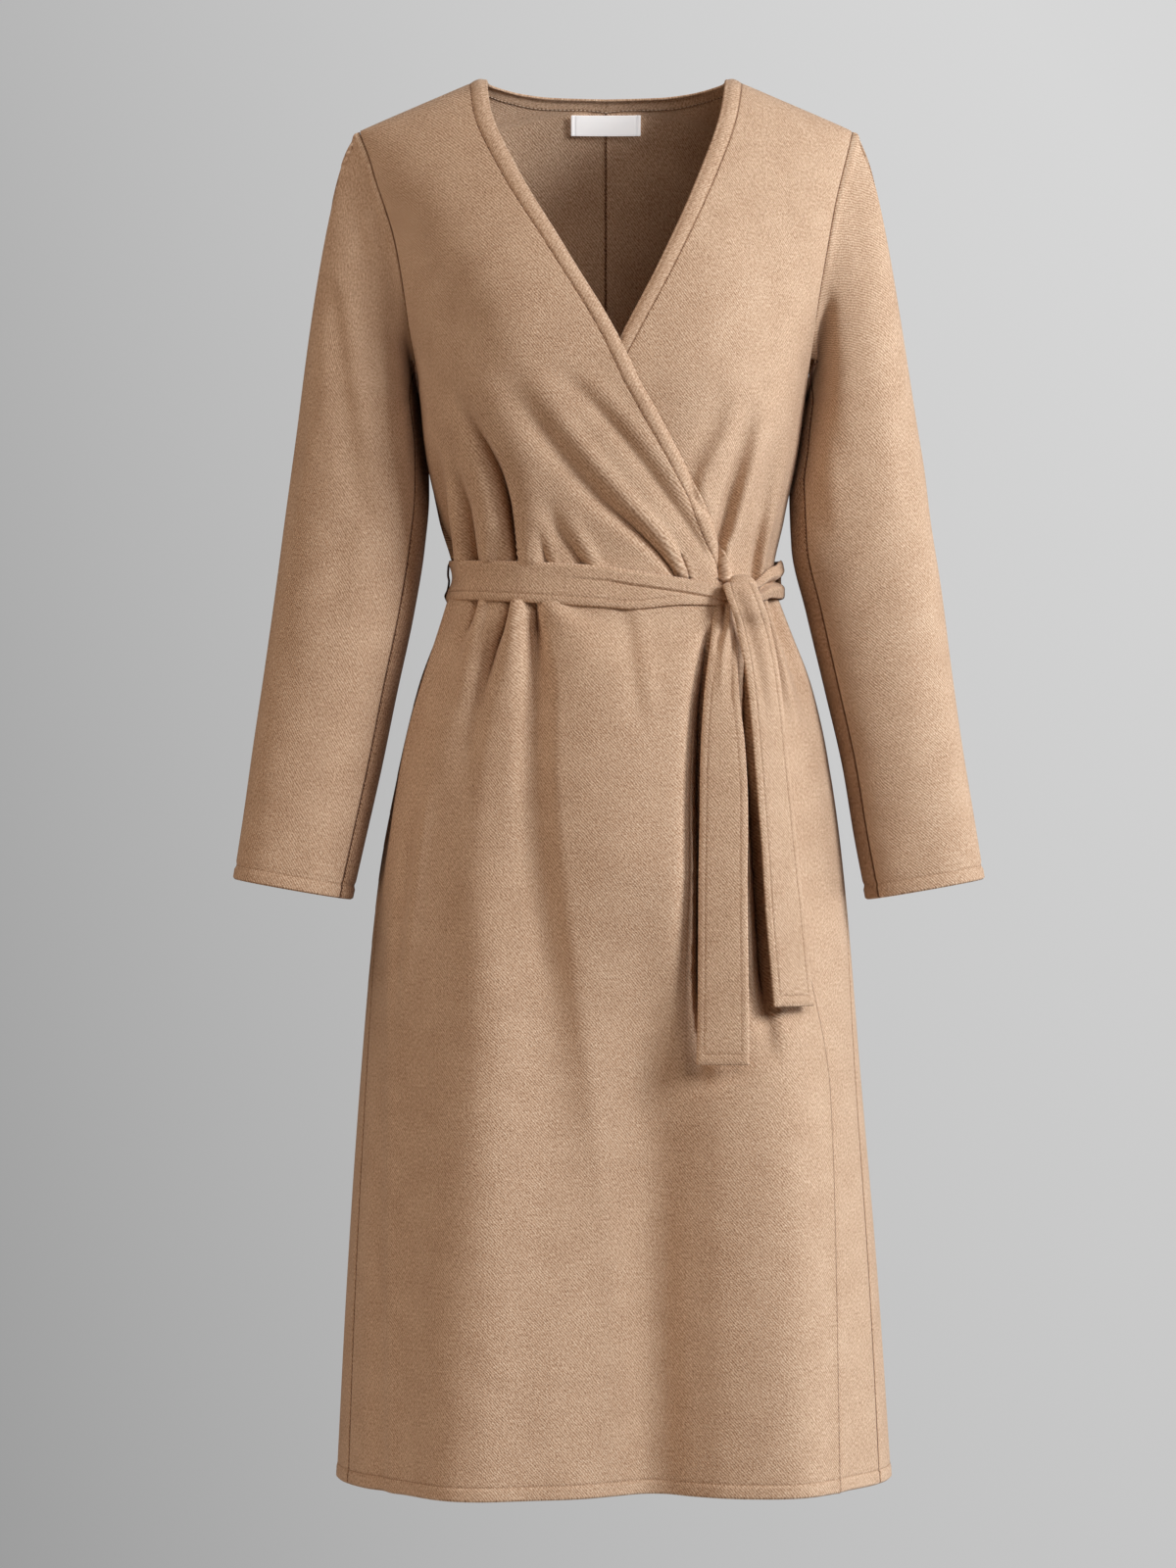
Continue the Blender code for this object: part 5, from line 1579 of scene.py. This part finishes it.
threadLoop = {
    "strand": 0.00055,
    "braid": 0.00060,
    "turns": 11,
    "reach": [
        (-0.3715, 0.0004), (-0.3763, 0.0034), (-0.3838, 0.0047), (-0.3883, 0.0040), (-0.3954, 0.0040),
        (-0.3994, 0.0046), (-0.4054, 0.0008),
    ],
}
label = {
    "width": 0.0580,
    "height": 0.0160,
    "topZ": 0.0025,
    "wall": 0.0006,
    "stand": 0.0025,  # how far it stands in from the neck band's wall
    "bow": 0.0005,
    "bowFrom": 0.020,  # bowed in full this far from its ends
    "stitchIn": 0.0030,
    "stitchDip": (0.0004, 0.0007),
}


def tubes(paths, radius, around=7):
    # round tubes along lists of points, as one set of points and quads
    points, quads = [], []
    for path in paths:
        tangent = unit(np.gradient(path, axis=0))
        side = unit(np.cross(tangent, [0.0, 1.0, 0.0]))
        other = np.cross(tangent, side)
        angle = np.linspace(0, 2 * math.pi, around, endpoint=False)
        ring = np.cos(angle)[None, :, None] * side[:, None, :]
        ring = ring + np.sin(angle)[None, :, None] * other[:, None, :]
        taper = np.ones(len(path))
        taper[0] = taper[-1] = 0.02
        start = sum(len(p) for p in points)
        index = np.arange(len(path) * around).reshape(len(path), around) + start
        onward = np.roll(index, -1, axis=1)
        quads.append(np.stack([index[:-1], onward[:-1], onward[1:], index[1:]], axis=-1).reshape(-1, 4))
        points.append((path[:, None, :] + radius * taper[:, None, None] * ring).reshape(-1, 3))
    return np.concatenate(points), np.concatenate(quads)


def buildThreadLoop():
    # a three-strand thread carrier that the belt runs through
    reach = threadLoop["reach"]
    z = np.linspace(reach[0][0], reach[-1][0], 150)
    stand = curve(reach)(z)
    paths = []
    for strand in range(3):
        phase = 2 * math.pi * (threadLoop["turns"] * np.linspace(0, 1, len(z)) + strand / 3)
        x = -rightSide(z) - stand - threadLoop["braid"] * np.cos(phase) * 0.7
        y = 2 * threadLoop["braid"] * np.sin(phase)
        paths.append(np.stack([x, y, z], axis=-1))
    points, quads = tubes(paths, threadLoop["strand"])
    piece = meshOf("thread_belt_loop", points, quads, threads["brown sewing thread"])
    return {"belt_loop": piece}


def buildLabel():
    xs = np.linspace(label["width"] / 2, -label["width"] / 2, 70)[None, :]
    high = label["height"]
    depth = np.concatenate([[0, 0.0003], np.linspace(0.001, high - 0.001, 26), [high - 0.0003, high]])
    zs = (label["topZ"] - depth)[:, None]
    rows = rowOf(xs, zs)
    turns = turnOf(np.where(xs == 0, 1e-6, xs), rows, behind=True)
    turns = np.where(turns < 0, turns + 2 * math.pi, turns)
    points, normals = surface(turns, rows)
    points = points + np.array([0.0, seams["shoulderShift"], 0.0])
    fromEnd = label["width"] / 2 - np.abs(xs)
    bow = label["bow"] * np.sin(math.pi * np.clip(fromEnd / label["bowFrom"], 0, 1) / 2)
    bow = bow * (0.4 + 0.6 * np.sin(math.pi * depth / high)[:, None])
    stand = -neckBand["wall"] - label["stand"] - bow - dip(fromEnd - label["stitchIn"], *label["stitchDip"])
    outside = points + stand[..., None] * normals
    inside = points + (stand - label["wall"])[..., None] * normals
    for way in (-1, 1):
        column = int(np.argmin(np.abs(xs[0] - way * (label["width"] / 2 - label["stitchIn"]))))
        stitchPaths["label"].append(inside[2:-2, column] - 0.0001 * normals[2:-2, column])
    weave = weaveOf(points, stitched=np.broadcast_to(fromEnd - label["stitchIn"], rows.shape))
    return {"neck_label": cloth("cloth_neck_label", outside, inside, weave, whiteSatin)}


smallPieces = buildThreadLoop() | buildLabel()
print("loop and label ready")

stitching = {
    # length of a stitch, spacing, thickness, and how far its needle holes are sunk; each hole is a dark bead
    # of painted shade
    "hem": {"length": 0.0026, "spacing": 0.0035, "thickness": 0.00032, "hole": 0.00030},
    "cuff": {"length": 0.0026, "spacing": 0.0035, "thickness": 0.00032, "hole": 0.00030},
    "neck": {"length": 0.0024, "spacing": 0.0032, "thickness": 0.00034, "hole": 0.00026},
    "back neck": {"length": 0.0026, "spacing": 0.0034, "thickness": 0.00046, "hole": 0.00030},
    "belt": {"length": 0.0026, "spacing": 0.0035, "thickness": 0.00036, "hole": 0.00027},
    "label": {"length": 0.0014, "spacing": 0.0021, "thickness": 0.00018, "hole": 0.00016},
    "uneven": (0.86, 1.12),  # its shortest and longest, as shares of its length
    "seed": 4,
}


class Shaping:
    # adds nodes to a Geometry Nodes tree
    def __init__(self, name):
        self.tree = bpy.data.node_groups.new(name, "GeometryNodeTree")
        self.start = self.tree.nodes.new("NodeGroupInput")
        self.end = self.tree.nodes.new("NodeGroupOutput")

    def input(self, name, kind):
        self.tree.interface.new_socket(name, in_out="INPUT", socket_type=kind)
        return self.start.outputs[name]

    def add(self, kind, settings, inputs, output=0):
        made = self.tree.nodes.new(kind)
        for name, value in settings.items():
            setattr(made, name, value)
        for name, value in inputs.items():
            if isinstance(value, bpy.types.NodeSocket):
                self.tree.links.new(value, made.inputs[name])
            else:
                made.inputs[name].default_value = value
        return made.outputs[output]


def buildStitchTree():
    # small beads along a line, each turned to follow it
    shape = Shaping("stitches along a line")
    line = shape.input("Geometry", "NodeSocketGeometry")
    length = shape.input("Stitch length", "NodeSocketFloat")
    spacing = shape.input("Spacing", "NodeSocketFloat")
    thickness = shape.input("Thickness", "NodeSocketFloat")
    shift = shape.input("Shift", "NodeSocketFloat")
    finish = shape.input("Material", "NodeSocketMaterial")
    shape.tree.interface.new_socket("Geometry", in_out="OUTPUT", socket_type="NodeSocketGeometry")
    course = shape.add("GeometryNodeMeshToCurve", {}, {"Mesh": line})
    total = shape.add("GeometryNodeCurveLength", {}, {"Curve": course})
    startAt = shape.add("ShaderNodeMath", {"operation": "MULTIPLY"}, {0: shift, 1: spacing})
    trimmed = shape.add("GeometryNodeTrimCurve", {"mode": "LENGTH"}, {"Curve": course, 4: startAt, 5: total})
    spots = shape.tree.nodes.new("GeometryNodeCurveToPoints")
    spots.mode = "LENGTH"
    shape.tree.links.new(trimmed, spots.inputs["Curve"])
    shape.tree.links.new(spacing, spots.inputs["Length"])
    turn = shape.add("FunctionNodeAlignRotationToVector", {"axis": "Z"}, {"Vector": spots.outputs["Tangent"]})
    bead = shape.add("GeometryNodeMeshUVSphere", {}, {"Segments": 6, "Rings": 4, "Radius": 1.0})
    least, most = stitching["uneven"]
    uneven = {2: least, 3: most, "Seed": stitching["seed"]}
    vary = shape.add("FunctionNodeRandomValue", {"data_type": "FLOAT"}, uneven, output=1)
    half = shape.add("ShaderNodeMath", {"operation": "MULTIPLY"}, {0: length, 1: 0.5})
    long = shape.add("ShaderNodeMath", {"operation": "MULTIPLY"}, {0: half, 1: vary})
    size = shape.add("ShaderNodeCombineXYZ", {}, {"X": thickness, "Y": thickness, "Z": long})
    inputs = {"Points": spots.outputs["Points"], "Instance": bead, "Rotation": turn, "Scale": size}
    copies = shape.add("GeometryNodeInstanceOnPoints", {}, inputs)
    real = shape.add("GeometryNodeRealizeInstances", {}, {"Geometry": copies})
    smooth = shape.add("GeometryNodeSetShadeSmooth", {}, {"Geometry": real})
    coloured = shape.add("GeometryNodeSetMaterial", {}, {"Geometry": smooth, "Material": finish})
    shape.tree.links.new(coloured, shape.end.inputs["Geometry"])
    return shape.tree


stitchTree = buildStitchTree()


def stitchLine(name, paths, values):
    mesh = bpy.data.meshes.new(name)
    points, edges = [], []
    for path in paths:
        start = len(points)
        points += [tuple(p) for p in path]
        edges += [(start + i, start + i + 1) for i in range(len(path) - 1)]
    mesh.from_pydata(points, edges, [])
    guide = bpy.data.objects.new(name, mesh)
    bpy.context.scene.collection.objects.link(guide)
    modifier = guide.modifiers.new("stitches", "NODES")
    modifier.node_group = stitchTree
    for item in stitchTree.interface.items_tree:
        if item.in_out == "INPUT" and item.name in values:
            modifier[item.identifier] = values[item.name]
    graph = bpy.context.evaluated_depsgraph_get()
    finished = bpy.data.meshes.new_from_object(guide.evaluated_get(graph))
    guide.modifiers.clear()
    guide.data = finished
    finished.name = name
    return guide


def buildStitches():
    made = {}
    sewnWith = {"label": "white sewing thread", "back neck": "cream sewing thread"}
    for row, paths in stitchPaths.items():
        look = stitching[row]
        plain = row.replace(" ", "_")
        common = {"Spacing": look["spacing"]}
        bead = {"Stitch length": look["length"], "Thickness": look["thickness"], "Shift": 0.5}
        bead["Material"] = threads[sewnWith.get(row, "camel sewing thread")]
        made[plain + "_stitches"] = stitchLine(plain + "_stitches", paths, common | bead)
        # dark beads at each stitch's needle holes: painted shade of the holes
        hole = {"Stitch length": look["hole"] * 2.2, "Thickness": look["hole"], "Shift": 0.02}
        hole["Material"] = threads["needle hole shade"]
        made[plain + "_needle_holes"] = stitchLine(plain + "_needle_holes", paths, common | hole)
    return made


stitchPieces = buildStitches()
print("stitches ready")

wovenPieces = bodyPieces | sleevePieces | beltPieces | smallPieces
for name, piece in wovenPieces.items():
    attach(piece, "root")
    "label" if name == "neck_label" else "wool"
    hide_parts(name)
for name, piece in stitchPieces.items():
    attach(piece, "root")
